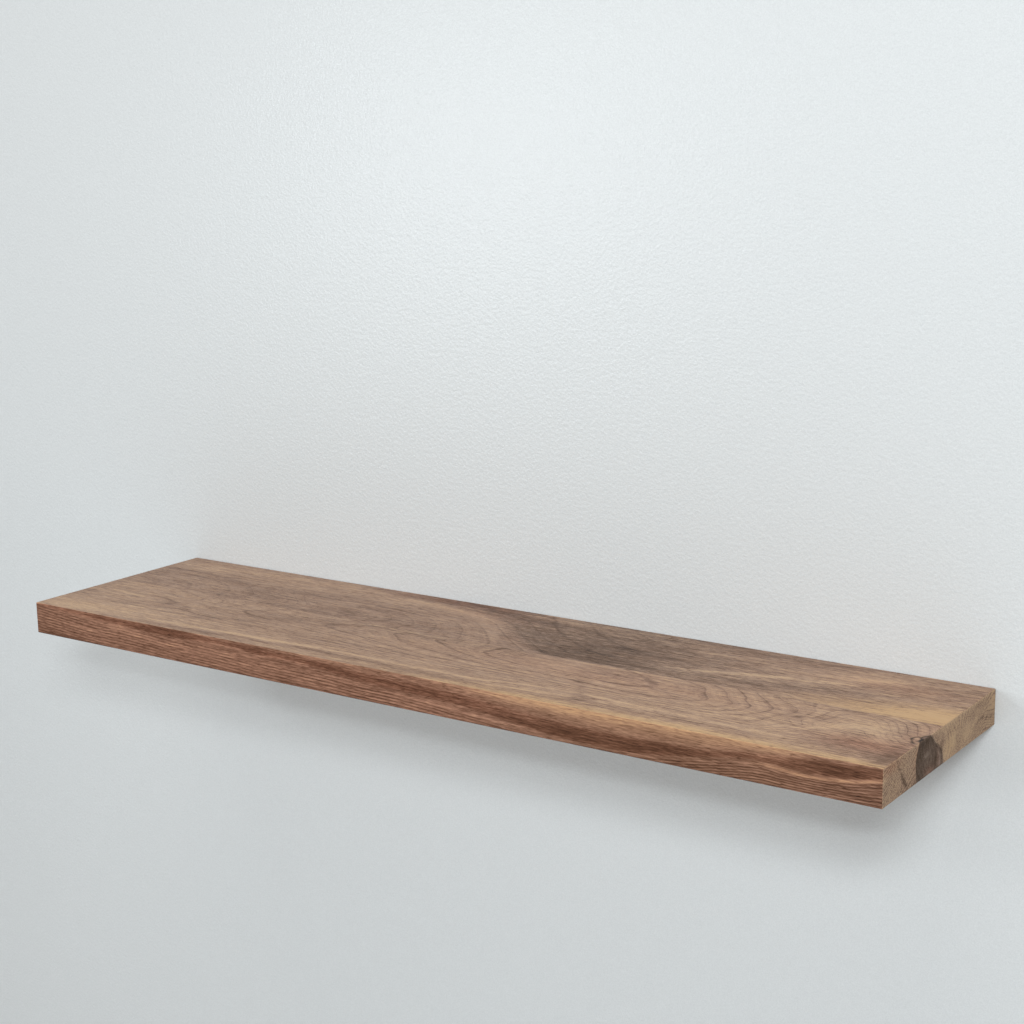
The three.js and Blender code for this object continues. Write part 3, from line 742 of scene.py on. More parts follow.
def from_top(points):
    return (HALF_THICKNESS - points[:, 2]) / MM


# For each kind of face: the two numbers of its places, and how it is painted.
FACES = {
    "front_top": (along_board, from_back, paint_front_top),
    "rear_top": (along_board, from_back, paint_rear_top),
    "front_edge": (along_board, from_top, paint_front_edge),
    "right_end": (from_front, from_top, paint_right_end),
    "left_end": (from_front, from_top, paint_left_end),
    "underside": (along_board, from_back, paint_underside),
    "back": (along_board, from_top, paint_back),
    "cut": (along_board, from_back, paint_cut),
}
FACE_NUMBERS = {name: number for number, name in enumerate(FACES)}

# A polygon this near to the board's own box belongs to an outer face.
OUTER = 1.5 * EASING


def faces_of(mesh, stave):
    """Which kind of face each polygon of a stave belongs to, by number."""
    count = len(mesh.polygons)
    centres = np.empty(count * 3)
    normals = np.empty(count * 3)
    mesh.polygons.foreach_get("center", centres)
    mesh.polygons.foreach_get("normal", normals)
    x, y, z = centres.reshape(-1, 3).T
    nx, ny, nz = normals.reshape(-1, 3).T
    kinds = np.full(count, FACE_NUMBERS["cut"])
    size = np.abs(np.c_[nx, ny, nz])
    main = size.argmax(1)
    top = "front_top" if stave == "front_stave" else "rear_top"
    kinds[(main == 2) & (nz > 0) & (z > HALF_THICKNESS - OUTER)] = FACE_NUMBERS[top]
    kinds[(main == 2) & (nz < 0) & (z < OUTER - HALF_THICKNESS)] = FACE_NUMBERS["underside"]
    kinds[(main == 0) & (nx > 0) & (x > HALF_LENGTH - OUTER)] = FACE_NUMBERS["right_end"]
    kinds[(main == 0) & (nx < 0) & (x < OUTER - HALF_LENGTH)] = FACE_NUMBERS["left_end"]
    kinds[(main == 1) & (ny < 0) & (y < OUTER - DEPTH)] = FACE_NUMBERS["front_edge"]
    kinds[(main == 1) & (ny > 0) & (y > -OUTER)] = FACE_NUMBERS["back"]
    return kinds


# Where each kind of face lies in the baked picture: two half-length strips, as a lowest height and
# a height, and for the short ends a box.
STRIPS = {
    "front_top": (0.0, 0.27),
    "rear_top": (0.0, 0.27),
    "front_edge": (0.54, 0.1),
    "underside": (0.74, 0.07),
    "back": (0.54, 0.1),
    "cut": (0.88, 0.02),
}
END_STRIPS = {"right_end": (0.92, 0.0, 0.5, 0.075), "left_end": (0.92, 0.5, 0.3, 0.075)}
STRIP_MARGIN = 0.004


def lay_out(mesh, kinds, low, high):
    """A UV map in which each kind of face has its own strips."""
    points, loop_kinds, loop_polygons = loop_points(mesh, kinds)
    centres = np.empty(len(mesh.polygons) * 3)
    mesh.polygons.foreach_get("center", centres)
    right_half = (centres.reshape(-1, 3)[:, 0] >= 0)[loop_polygons]
    share = (points - np.array(low)) / (np.array(high) - np.array(low))
    uv = np.zeros((len(points), 2))
    for name, (foot, height) in STRIPS.items():
        here = loop_kinds == FACE_NUMBERS[name]
        along = 2 * share[here, 0] - right_half[here]
        across = share[here, 2 if name in ("front_edge", "back") else 1]
        uv[here, 0] = STRIP_MARGIN + (1 - 2 * STRIP_MARGIN) * along
        uv[here, 1] = foot + height * (right_half[here] + STRIP_MARGIN + (1 - 8 * STRIP_MARGIN) * across)
    for name, (foot, start, width, height) in END_STRIPS.items():
        here = loop_kinds == FACE_NUMBERS[name]
        uv[here, 0] = start + STRIP_MARGIN + (width - 2 * STRIP_MARGIN) * share[here, 1]
        uv[here, 1] = foot + height * share[here, 2]
    layer = mesh.uv_layers.new(name="OFBake")
    layer.data.foreach_set("uv", np.clip(uv, 0, 1).astype(np.float32).ravel())


def loop_points(mesh, kinds):
    """Each face corner's point, kind of face and polygon."""
    points = np.empty(len(mesh.vertices) * 3)
    mesh.vertices.foreach_get("co", points)
    vertex_of = np.empty(len(mesh.loops), int)
    mesh.loops.foreach_get("vertex_index", vertex_of)
    totals = np.empty(len(mesh.polygons), int)
    mesh.polygons.foreach_get("loop_total", totals)
    polygon_of = np.repeat(np.arange(len(mesh.polygons)), totals)
    return points.reshape(-1, 3)[vertex_of], kinds[polygon_of], polygon_of


def paint(mesh, kinds):
    """Writes the channels of every face corner as three vector attributes."""
    points, loop_kinds, _ = loop_points(mesh, kinds)
    values = {channel: np.zeros(len(points)) for channel in CHANNELS}
    for name, (first, second, painter) in FACES.items():
        here = np.flatnonzero(loop_kinds == FACE_NUMBERS[name])
        if not len(here):
            continue
        pairs = np.c_[first(points[here]), second(points[here])].round(3)
        places, back = np.unique(pairs, axis=0, return_inverse=True)
        face = Face(places)
        painter(face)
        for channel in CHANNELS:
            values[channel][here] = getattr(face, channel)[back.ravel()]
    for name, channels in ATTRIBUTES.items():
        attribute = mesh.attributes.new(name, "FLOAT_VECTOR", "CORNER")
        rows = np.c_[tuple(values[channel] for channel in channels)]
        attribute.data.foreach_set("vector", rows.astype(np.float32).ravel())


# Staves

def lines_through(start, stops, last, last_steps):
    """Grid lines from start through each stop, in its number of steps, to last."""
    lines = [start]
    for stop, steps in (*stops, (last, last_steps)):
        lines.extend(np.linspace(lines[-1], stop, steps + 1)[1:])
    return lines


def eased_start(edge, towards):
    """Two grid lines that make an edge's easing, from the edge inwards."""
    return [edge, edge + towards * EASING * EASING_MIDDLE_SHARE]


def round_over(points):
    """Draws points on the board's box in to its eased edges."""
    core = np.array((HALF_LENGTH, DEPTH / 2, HALF_THICKNESS)) - EASING
    middle = np.array((0, -DEPTH / 2, 0))
    inner = np.clip(points - middle, -core, core)
    out = points - middle - inner
    length = np.linalg.norm(out, axis=1, keepdims=True)
    return middle + inner + out / np.maximum(length, 1e-9) * EASING


def stave_mesh(name, xs, ys, zs):
    """A closed box on the given grid lines. Its lower part uses every second line."""
    points = []
    index = {}

    def at(i, j, k):
        if (i, j, k) not in index:
            index[i, j, k] = len(points)
            points.append((xs[i], ys[j], zs[k]))
        return index[i, j, k]

    nx, ny, nz = len(xs) - 1, len(ys) - 1, len(zs) - 1
    faces = []
    for i in range(nx):
        for j in range(ny):
            faces.append((at(i, j, nz), at(i + 1, j, nz), at(i + 1, j + 1, nz), at(i, j + 1, nz)))
    for i in range(0, nx, 2):
        for j in range(0, ny, 2):
            faces.append((at(i, j, 0), at(i, j + 2, 0), at(i + 2, j + 2, 0), at(i + 2, j, 0)))
    loop = [(i, 0) for i in range(nx)]
    loop += [(nx, j) for j in range(ny)]
    loop += [(i, ny) for i in range(nx, 0, -1)]
    loop += [(0, j) for j in range(ny, 0, -1)]
    coarse_rows = 2
    for n in range(0, len(loop), 2):
        a, b, c = loop[n], loop[n + 1], loop[(n + 2) % len(loop)]
        for k in range(coarse_rows):
            faces.append((at(*a, k), at(*c, k), at(*c, k + 1), at(*a, k + 1)))
        k = coarse_rows
        faces.append((at(*a, k), at(*c, k), at(*b, k + 1)))
        faces.append((at(*a, k), at(*b, k + 1), at(*a, k + 1)))
        faces.append((at(*c, k), at(*c, k + 1), at(*b, k + 1)))
        for k in range(coarse_rows + 1, nz):
            faces.append((at(*a, k), at(*b, k), at(*b, k + 1), at(*a, k + 1)))
            faces.append((at(*b, k), at(*c, k), at(*c, k + 1), at(*b, k + 1)))
    mesh = bpy.data.meshes.new(name)
    mesh.from_pydata(round_over(np.array(points)).tolist(), [], faces)
    mesh.update()
    return mesh


def turned_ring(sides, shape):
    """Points round the Y axis. shape gives their radius and their place along it at each turn."""
    points = []
    for n in range(sides):
        turn = 2 * math.pi * n / sides
        radius, place = shape(turn)
        points.append((radius * math.cos(turn), place, radius * math.sin(turn)))
    return points


def ring_of(radius, sides, place):
    return turned_ring(sides, lambda turn: (radius, place))


def ring_quads(pairs, sides):
    """Quads between pairs of rings, which are given by their numbers."""
    faces = []
    for first, second in pairs:
        a, b = first * sides, second * sides
        for n in range(sides):
            m = (n + 1) % sides
            faces.append((a + m, a + n, b + n, b + m))
    return faces


def tube_data(rings):
    """A closed tube through rings of points, with flat ends. The rings run towards +Y."""
    sides = len(rings[0])
    points = [point for ring in rings for point in ring]
    faces = ring_quads(pairwise(range(len(rings))), sides)
    faces.append(tuple(range(sides)))
    faces.append(tuple(reversed(range(len(points) - sides, len(points)))))
    return points, faces


def box_data(low, high):
    """A box between two corners."""
    points = list(product(*zip(low, high)))
    faces = [(0, 1, 3, 2), (4, 6, 7, 5), (0, 4, 5, 1), (2, 3, 7, 6), (0, 2, 6, 4), (1, 5, 7, 3)]
    return points, faces


def add_object(name, data):
    thing = bpy.data.objects.new(name, data)
    bpy.context.scene.collection.objects.link(thing)
    return thing


def object_from(name, data, place=(0, 0, 0)):
    """A new object from points and faces, with its place in its vertices."""
    points, faces = data
    mesh = bpy.data.meshes.new(name)
    mesh.from_pydata([tuple(np.add(point, place)) for point in points], [], faces)
    mesh.update()
    return add_object(name, mesh)


def cylinder_y(radius, start, end, sides=BORE_SIDES):
    """A closed cylinder about the Y axis."""
    return tube_data([ring_of(radius, sides, start), ring_of(radius, sides, end)])


def upright(data):
    """Turns points about the X axis, so that what ran towards +Y runs towards +Z."""
    points, faces = data
    return [(x, -z, y) for x, y, z in points], faces


def biscuit_slot(low, high):
    """An oval slot that clears a biscuit's box by the fit gap."""
    half_length = (high.x - low.x) / 2 + FIT_GAP
    half_width = (high.y - low.y) / 2 + FIT_GAP
    radius = (half_length**2 + half_width**2) / (2 * half_width)
    half_turn = math.asin(half_length / radius)
    turns = [half_turn * (2 * n / SLOT_STEPS - 1) for n in range(SLOT_STEPS)]
    middle_x, middle_y = (low.x + high.x) / 2, (low.y + high.y) / 2
    outline = [(math.sin(t) * radius, math.cos(t) * radius - radius + half_width) for t in turns]
    outline += [(-x, -y) for x, y in outline]
    heights = (low.z - FIT_GAP, high.z + FIT_GAP)
    rings = [[(middle_x + x, z, -middle_y - y) for x, y in outline] for z in heights]
    return upright(tube_data(rings))


def centre_of(node):
    """The middle of a node's box."""
    low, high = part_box(node)
    return (low + high) / 2


def cutters():
    """Cutting solids for everything that the board makes room for."""
    rod_low, rod_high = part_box(RODS[0])
    bar_low, bar_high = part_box("wall_bar")
    bead_radius = (rod_high.x - rod_low.x) / 2
    tip_low, tip_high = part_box(LOCK_SCREWS[0])
    tools = []
    for rod in RODS:
        x = centre_of(rod).x
        bore = cylinder_y(ROD_RADIUS + ROD_CLEARANCE, rod_low.y - ROD_END_CLEARANCE, OVERRUN)
        pocket = cylinder_y(bead_radius + WELD_CLEARANCE, bar_low.y - WELD_LEG - WELD_CLEARANCE, OVERRUN)
        tools.append(object_from("bore", bore, (x, 0, 0)))
        tools.append(object_from("pocket", pocket, (x, 0, 0)))
    low = (bar_low.x - RECESS_CLEARANCE, bar_low.y - RECESS_FLOOR_CLEARANCE, bar_low.z - RECESS_CLEARANCE)
    high = (bar_high.x + RECESS_CLEARANCE, OVERRUN, bar_high.z + RECESS_CLEARANCE)
    tools.append(object_from("recess", box_data(low, high)))
    for biscuit in BISCUITS:
        tools.append(object_from("slot", biscuit_slot(*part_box(biscuit))))
    foot = -HALF_THICKNESS - OVERRUN
    for insert in INSERTS:
        low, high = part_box(insert)
        middle = (low + high) / 2
        wide = cylinder_y((high.x - low.x) / 2 + FIT_GAP, foot, high.z + FIT_GAP, HOLE_SIDES)
        narrow = cylinder_y((tip_high.x - tip_low.x) / 2 + FIT_GAP, foot, 0, HOLE_SIDES)
        tools.append(object_from("wide_hole", upright(wide), (middle.x, middle.y, 0)))
        tools.append(object_from("narrow_hole", upright(narrow), (middle.x, middle.y, 0)))
    return tools


def baked_mesh(thing, name):
    """The thing's mesh with its modifiers applied, as a new mesh."""
    graph = bpy.context.evaluated_depsgraph_get()
    mesh = bpy.data.meshes.new_from_object(thing.evaluated_get(graph))
    mesh.name = name
    return mesh


def cut_out(thing, tools):
    """Cuts every tool from a thing, one after the other."""
    for tool in tools:
        modifier = thing.modifiers.new("cut", "BOOLEAN")
        modifier.operation = "DIFFERENCE"
        modifier.solver = "EXACT"
        modifier.object = tool
    bpy.context.view_layer.update()
    mesh = baked_mesh(thing, thing.name)
    thing.modifiers.clear()
    thing.data = mesh


def give_material(thing, material):
    """Gives a thing one material, in place of any that it has."""
    thing.data.materials.clear()
    thing.data.materials.append(material)


def finish_smooth(thing, angle=32):
    """Shades a thing smooth, with sharp edges kept and large faces flat."""
    thing.data.shade_smooth()
    thing.data.set_sharp_from_angle(angle=math.radians(angle))
    modifier = thing.modifiers.new("flat faces", "WEIGHTED_NORMAL")
    modifier.keep_sharp = True


def make_stave(node, ys, height_steps, tools, material):
    """One stave: meshed on grid lines, cut by its tools and painted."""
    xs = eased_start(-HALF_LENGTH, 1)
    xs += lines_through(EASING - HALF_LENGTH, LENGTH_STEPS, HALF_LENGTH - EASING, LAST_LENGTH_STEPS)
    xs += eased_start(HALF_LENGTH, -1)[::-1]
    zs = eased_start(-HALF_THICKNESS, 1)
    zs += list(np.linspace(EASING - HALF_THICKNESS, HALF_THICKNESS - EASING, height_steps + 1))
    zs += eased_start(HALF_THICKNESS, -1)[::-1]
    board = add_object(node + "_board", stave_mesh(node + "_board", xs, ys, zs))
    cut_out(board, tools)
    kinds = faces_of(board.data, node)
    low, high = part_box(node)
    lay_out(board.data, kinds, low, high)
    paint(board.data, kinds)
    give_material(board, material)
    finish_smooth(board)
    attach(board, "shelf")
    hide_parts(node)
    return board


def make_staves(material):
    """Both staves. The front one is cut only by the rods' bores and the biscuits' slots."""
    tools = cutters()
    front_ys = eased_start(-DEPTH, 1)
    front_ys += lines_through(EASING - DEPTH, FRONT_DEPTH_STEPS[:-1], *FRONT_DEPTH_STEPS[-1])
    rear_ys = list(np.linspace(GLUE_LINE, -EASING, REAR_DEPTH_STEPS + 1))
    rear_ys += eased_start(0, -1)[::-1]
    front_tools = [tool for tool in tools if tool.name.startswith(("bore", "slot"))]
    make_stave("front_stave", front_ys, FRONT_HEIGHT_STEPS, front_tools, material)
    make_stave("rear_stave", rear_ys, REAR_HEIGHT_STEPS, tools, material)
    for tool in tools:
        bpy.data.objects.remove(tool)


# Materials

def linear(code):
    """A colour written as a hexadecimal sRGB code, as linear values."""
    parts = [int(code[n:n + 2], 16) / 255 for n in (0, 2, 4)]
    values = [part / 12.92 if part <= 0.04045 else ((part + 0.055) / 1.055) ** 2.4 for part in parts]
    return (*values, 1.0)


class Value:
    """A number or colour from a node. Arithmetic on it makes more nodes."""

    def __init__(self, shader, socket):
        self.shader = shader
        self.socket = socket

    def __add__(self, other):
        return self.shader.math("ADD", self, other)

    def __sub__(self, other):
        return self.shader.math("SUBTRACT", self, other)

    def __rsub__(self, other):
        return self.shader.math("SUBTRACT", other, self)

    def __mul__(self, other):
        return self.shader.math("MULTIPLY", self, other)

    def __pow__(self, other):
        return self.shader.math("POWER", self, other)

    def __abs__(self):
        return self.shader.math("ABSOLUTE", self)

    def clamped(self):
        """Keeps the value from 0 to 1, in the math node that it comes from."""
        self.socket.node.use_clamp = True
        return self


class Shader:
    """A material's node tree, built by short calls."""

    def __init__(self, name):
        self.material = bpy.data.materials.new(name)
        self.material.use_nodes = True
        self.tree = self.material.node_tree
        self.surface = self.tree.nodes["Principled BSDF"]
        self.place = self.result("Object", "ShaderNodeTexCoord")

    def feed(self, socket, value):
        if isinstance(value, Value):
            self.tree.links.new(value.socket, socket)
        else:
            socket.default_value = value

    def result(self, output, kind, inputs=None, **settings):
        """One output of a new node, by name or number. inputs fills its sockets."""
        made = self.tree.nodes.new(kind)
        for key, value in settings.items():
            setattr(made, key, value)
        for key, value in (inputs or {}).items():
            self.feed(made.inputs[key], value)
        return Value(self, made.outputs[output])

    def set(self, **values):
        """Fills the surface's sockets. An underscore in a name stands for a space."""
        for key, value in values.items():
            self.feed(self.surface.inputs[key.replace("_", " ")], value)

    def math(self, operation, *inputs):
        return self.result(0, "ShaderNodeMath", dict(enumerate(inputs)), operation=operation)

    def split(self, vector):
        x = self.result(0, "ShaderNodeSeparateXYZ", {0: vector})
        return [Value(self, socket) for socket in x.socket.node.outputs]

    def channels(self, name):
        """The three painted channels that an attribute holds."""
        kind = "ShaderNodeAttribute"
        return self.split(self.result("Vector", kind, attribute_name=name, attribute_type="GEOMETRY"))

    def noise(self, fineness, detail=2.0, roughness=0.5, place=None):
        """Noise from 0 to 1. fineness is per metre: one number, or one for each axis."""
        place = place or self.place
        if isinstance(fineness, tuple):
            place = self.result(0, "ShaderNodeVectorMath", {0: place, 1: fineness}, operation="MULTIPLY")
            fineness = 1.0
        inputs = {"Vector": place, "Scale": fineness, "Detail": detail, "Roughness": roughness}
        return self.result("Fac", "ShaderNodeTexNoise", inputs)

    def remap(self, value, low, high, to_low=0.0, to_high=1.0):
        """A smooth step between two levels."""
        inputs = {"Value": value, "From Min": low, "From Max": high, "To Min": to_low, "To Max": to_high}
        return self.result("Result", "ShaderNodeMapRange", inputs, interpolation_type="SMOOTHSTEP")

    def waves(self, value):
        """Smooth crests that repeat with every whole number."""
        return self.remap(abs(self.math("FRACT", value) - 0.5), 0.0, 0.5, 1.0, 0.0)

    def blend(self, factor, a, b, mode="MIX"):
        inputs = {0: factor, 6: a, 7: b}
        return self.result(2, "ShaderNodeMix", inputs, data_type="RGBA", blend_type=mode)

    def ramp(self, factor, stops):
        colour = self.result(0, "ShaderNodeValToRGB", {0: factor})
        elements = colour.socket.node.color_ramp.elements
        while len(elements) < len(stops):
            elements.new(0.5)
        for element, (place, tint) in zip(elements, stops):
            element.position = place
            element.color = tint
        return colour

    def bump(self, height, strength, distance):
        inputs = {"Height": height, "Strength": strength, "Distance": distance}
        self.set(Normal=self.result(0, "ShaderNodeBump", inputs))


WALNUT_LEVELS = (
    (0.22, linear("231812")),
    (0.431, linear("543d2e")),
    (0.54, linear("705646")),
    (0.647, linear("8e7260")),
    (0.741, linear("a68873")),
    (0.84, linear("bf9f80")),
)
AMBER_TINT = (1.0, 0.93, 0.72, 1.0)
OLIVE_TINT = (0.90, 0.97, 0.98, 1.0)
RED_TINT = (1.0, 0.74, 0.66, 1.0)
KNOT_TINT = (0.97, 1.12, 1.27, 1.0)


def ring_figure(s, ring, lines):
    """How much darker or lighter the growth rings make the wood."""
    # They wander a little. Each darkens towards its outer side and stops there.
    wander = s.noise((9, 38, 38), 3.0, 0.6) - 0.5
    fine_wander = s.noise((40, 300, 300), 2.0, 0.5) - 0.5
    place = ring + wander * 0.24 + fine_wander * 0.11
    share = s.math("FRACT", place)
    outer_edge = s.remap(abs(share - 0.95), 0.0, 0.1, 1.0, 0.0)
    # Some rings show more than others, and each more in some places.
    ring_number = s.result(0, "ShaderNodeCombineXYZ", {0: s.math("FLOOR", place)})
    own = s.noise(3.7, 0.0, place=ring_number)
    patches = s.noise((7, 22, 22), 1.0)
    main = (share ** 4.0 * 0.5 + outer_edge * 0.7) * (own * 0.9 + patches * 1.3)
    minor = s.waves(place * 3.3) * patches
    finest = s.waves(place * 8.7)
    figure = (main * -0.058 + minor * -0.042 + finest * -0.02 + 0.036) * (lines * 2.0)
    # Where the rings are narrow, they show as plain stripes.
    stripe = s.remap(abs(share - 0.5), 0.05, 0.45, 0.5, -0.5)
    return figure + stripe * ((lines - 0.62).clamped() * s.remap(own, 0.3, 0.7, 0.1, 0.36))


def wood_grain(s):
    """The grain that fibres and pores make along the board, then each of the two by itself."""
    broad = s.noise((2.6, 26, 26), 3.0, 0.55) - 0.5
    streaks = s.noise((10, 230, 230), 3.0, 0.65) - 0.5
    threads = s.noise((26, 560, 560), 2.0, 0.6) - 0.5
    fibres = s.noise((90, 1400, 1400), 2.0, 0.6)
    pores = s.remap(s.noise((85, 1050, 1050), 1.0, 0.5), 0.58, 0.70)
    grain = broad * 0.07 + streaks * 0.20 + threads * 0.33 + (fibres - 0.5) * 0.50 - (pores - 0.12) * 0.13
    return grain, fibres, pores


def walnut():
    """Oiled walnut: rings and tints from the painted channels, fibres and pores along the board."""
    s = Shader("walnut")
    ring, lines, tone = s.channels("figure")
    amber, olive, red = s.channels("tint")
    knot, crack, rim = s.channels("mark")
    figure = ring_figure(s, ring, lines)
    grain, fibres, pores = wood_grain(s)

    # The grain stands out more in the olive wood, and towards the board's right end.
    facing_x = s.split(s.result("Normal", "ShaderNodeTexCoord"))[0]
    end_grain = s.remap(abs(facing_x), 0.4, 0.9)
    to_right = s.remap(s.split(s.place)[0], 0.0, HALF_LENGTH, 1.0, 1.22)
    standing_out = olive * 0.6 + (to_right + end_grain * 0.05)

    # The knot is dark and mottled, with weaker rings.
    mottle = s.noise(90, 4.0, 0.65)
    wood_level = tone + (figure + grain * standing_out)
    knot_level = (tone - 0.615) + 0.375 + (figure * 0.3 + grain * 0.6 + (mottle - 0.5) * 0.26)
    in_knot = s.math("MINIMUM", knot, 1.0)
    level = wood_level * (1.0 - knot).clamped() + knot_level * in_knot
    colour = s.ramp(level, WALNUT_LEVELS)
    for channel, strength, tint in (
        (amber, 0.55, AMBER_TINT),
        (olive, 0.6, OLIVE_TINT),
        (red, 0.8, RED_TINT),
        (in_knot, 1.0, KNOT_TINT),
    ):
        colour = s.blend((channel * strength).clamped(), colour, tint, "MULTIPLY")
    colour = s.blend((rim * 0.75).clamped(), colour, linear("b5876a"))
    ragged = crack * s.remap(mottle, 0.3, 0.6, 0.55, 1.1)
    s.set(Base_Color=s.blend((ragged * 0.95).clamped(), colour, linear("241a15")))

    # The oil's sheen varies in patches. End grain takes up more oil, so it stays matt.
    sheen = s.noise((30, 120, 120), 3.0)
    roughness = s.remap(sheen, 0.3, 0.7, 0.42, 0.52) + pores * 0.15 + end_grain * 0.25
    s.set(Roughness=roughness, Specular_IOR_Level=0.1)
    s.bump(fibres * 0.5 - pores - crack * 2.5, 0.35, 0.08 * MM)
    return s.material


# Finishes of the bracket, its screws, the locks and the biscuits

PLAIN_STEEL = (0.50, 0.50, 0.51, 1.0)
WELD_TINTS = (
    (0.0, (0.20, 0.19, 0.19, 1.0)),
    (0.16, (0.17, 0.20, 0.29, 1.0)),
    (0.34, (0.30, 0.24, 0.33, 1.0)),
    (0.52, (0.52, 0.40, 0.24, 1.0)),
    (0.78, PLAIN_STEEL),
)
TINT_START = 10 * MM
TINT_END = 34 * MM
TINT_WANDER = 9 * MM
BLACK = (0.0, 0.0, 0.0, 1.0)
WHITE = (1.0, 1.0, 1.0, 1.0)


def bare_steel(name, brush, weld_distance):
    """Cold-rolled steel, brushed one way. weld_distance gives each place's distance from a weld."""
    s = Shader(name)
    distance = weld_distance(s) + (s.noise(130) - 0.5) * TINT_WANDER
    tinted = s.ramp(s.remap(distance, TINT_START, TINT_END), WELD_TINTS)
    scratches = s.noise(brush, 3.0, 0.6)
    mill = s.noise(28, 4.0, 0.6)
    shade = s.remap(scratches, 0.3, 0.7, 0.82, 1.06) + s.remap(mill, 0.35, 0.7, 0.05, -0.16)
    grey = s.ramp(shade, ((0.0, BLACK), (1.0, WHITE)))
    s.set(Base_Color=s.blend(1.0, tinted, grey, "MULTIPLY"))
    s.set(Metallic=1.0, Roughness=s.remap(mill, 0.3, 0.7, 0.30, 0.46))
    s.bump(scratches, 0.3, 0.03 * MM)
    return s.material


def rod_steel():
    """A rod's weld is near its foot, where Y is 0."""
    return bare_steel("rod_steel", (1500, 60, 1500), lambda s: s.split(s.place)[1] * -1.0)


def bar_steel(spacing):
    """The bar's welds are at every rod, so their distance repeats along it."""
    def distance(s):
        x, _, z = s.split(s.place)
        along = spacing / 2 - s.math("PINGPONG", x, spacing / 2)
        return s.math("SQRT", along * along + z * z)
    return bare_steel("bar_steel", (45, 1300, 1300), distance)


def zinc_plate():
    """Yellow zinc: gold with pink and green patches."""
    s = Shader("zinc_plate")
    pink, gold, green = (0.62, 0.46, 0.40, 1.0), (0.60, 0.53, 0.34, 1.0), (0.50, 0.54, 0.38, 1.0)
    s.set(Base_Color=s.ramp(s.noise(240), ((0.34, pink), (0.5, gold), (0.66, green))))
    s.set(Metallic=1.0, Roughness=s.remap(s.noise(900), 0.3, 0.7, 0.24, 0.36))
    return s.material


def brass():
    """Turned brass, a little dull in patches."""
    s = Shader("brass")
    dull = s.noise(420, 3.0, 0.6)
    bright, tired = (0.70, 0.54, 0.27, 1.0), (0.55, 0.40, 0.20, 1.0)
    s.set(Base_Color=s.ramp(dull, ((0.35, bright), (0.7, tired))))
    s.set(Metallic=1.0, Roughness=s.remap(dull, 0.3, 0.7, 0.2, 0.38))
    return s.material


def black_steel():
    """Black oxide, with the steel's grey showing through in specks."""
    s = Shader("black_steel")
    specks = s.noise(1600, 3.0, 0.7)
    oxide, steel = (0.030, 0.030, 0.034, 1.0), (0.10, 0.10, 0.105, 1.0)
    s.set(Base_Color=s.ramp(specks, ((0.55, oxide), (0.75, steel))))
    s.set(Metallic=0.7, Roughness=s.remap(specks, 0.3, 0.7, 0.36, 0.52))
    return s.material


def beech():
    """Pressed beech: pale, with short brown flecks."""
    s = Shader("beech")
    flecks = s.noise((220, 1500, 1500))
    brown, pale = (0.52, 0.35, 0.21, 1.0), (0.66, 0.48, 0.30, 1.0)
    s.set(Base_Color=s.ramp(flecks, ((0.3, brown), (0.5, pale))))
    s.set(Roughness=0.62, Specular_IOR_Level=0.3)
    s.bump(flecks, 0.3, 0.05 * MM)
    return s.material


# Bracket

ROD_SIDES = 36
ROD_TIP = 1.5 * MM
SPIGOT_RADIUS = 4.75 * MM
WELD_ROWS = 7
WELD_RIPPLES = 18
WELD_RIPPLE = 0.55 * MM
SCREW_SIDES = 18
HEAD_RIM = 0.4 * MM
HEAD_HEIGHT = 3.65 * MM
SHANK_RADIUS = 3.175 * MM
STAR_RADIUS = 2.6 * MM
STAR_LOBE = 0.4 * MM
STAR_DEPTH = 2.4 * MM
THREAD_PITCH = 3.6 * MM
THREAD_DEPTH = 0.95 * MM
THREAD_ROWS = 4
POINT_LENGTH = 8 * MM
PLAIN_SHANK = 10 * MM
BLUNT_POINT = 0.4 * MM
INSERT_SIDES = 32
INSERT_BORE = 3.3 * MM
INSERT_CHAMFER = 0.35 * MM


def weld_ring(share, front):
    """One ring of the weld bead, from the rod at share 0 to the bar at 1, rippled as it was laid."""
    slope = share * math.pi / 2

    def shape(turn):
        ripple = abs(math.sin(WELD_RIPPLES * turn / 2 + 0.9 * math.sin(slope)))
        leg = WELD_LEG - WELD_RIPPLE * ripple * math.sin(2 * slope)
        return ROD_RADIUS + leg * math.sin(slope), front - leg * math.cos(slope)
    return turned_ring(ROD_SIDES, shape)


def rod_data(tip, front):
    """A rod along Y: its chamfered tip, its weld bead against the bar's front, and its spigot."""
    rings = [
        ring_of(ROD_RADIUS - ROD_TIP, ROD_SIDES, tip),
        ring_of(ROD_RADIUS, ROD_SIDES, tip + ROD_TIP),
    ]
    rings += [weld_ring(row / WELD_ROWS, front) for row in range(WELD_ROWS + 1)]
    rings.append(ring_of(SPIGOT_RADIUS, ROD_SIDES, front))
    rings.append(ring_of(SPIGOT_RADIUS, ROD_SIDES, 0))
    return tube_data(rings)


def star_ring(place):
    """One ring of the head's six-lobed socket."""
    return turned_ring(SCREW_SIDES, lambda turn: (STAR_RADIUS + STAR_LOBE * math.cos(6 * turn), place))


def thread_ring(place, point):
    """One ring of the coarse thread. Its crest winds round as place runs on, and fades to a point."""
    fade = min((point - place) / POINT_LENGTH, 1)

    def shape(turn):
        phase = (place / THREAD_PITCH - turn / (2 * math.pi)) % 1
        return (SHANK_RADIUS - THREAD_DEPTH * abs(2 * phase - 1)) * fade, place
    return turned_ring(SCREW_SIDES, shape)


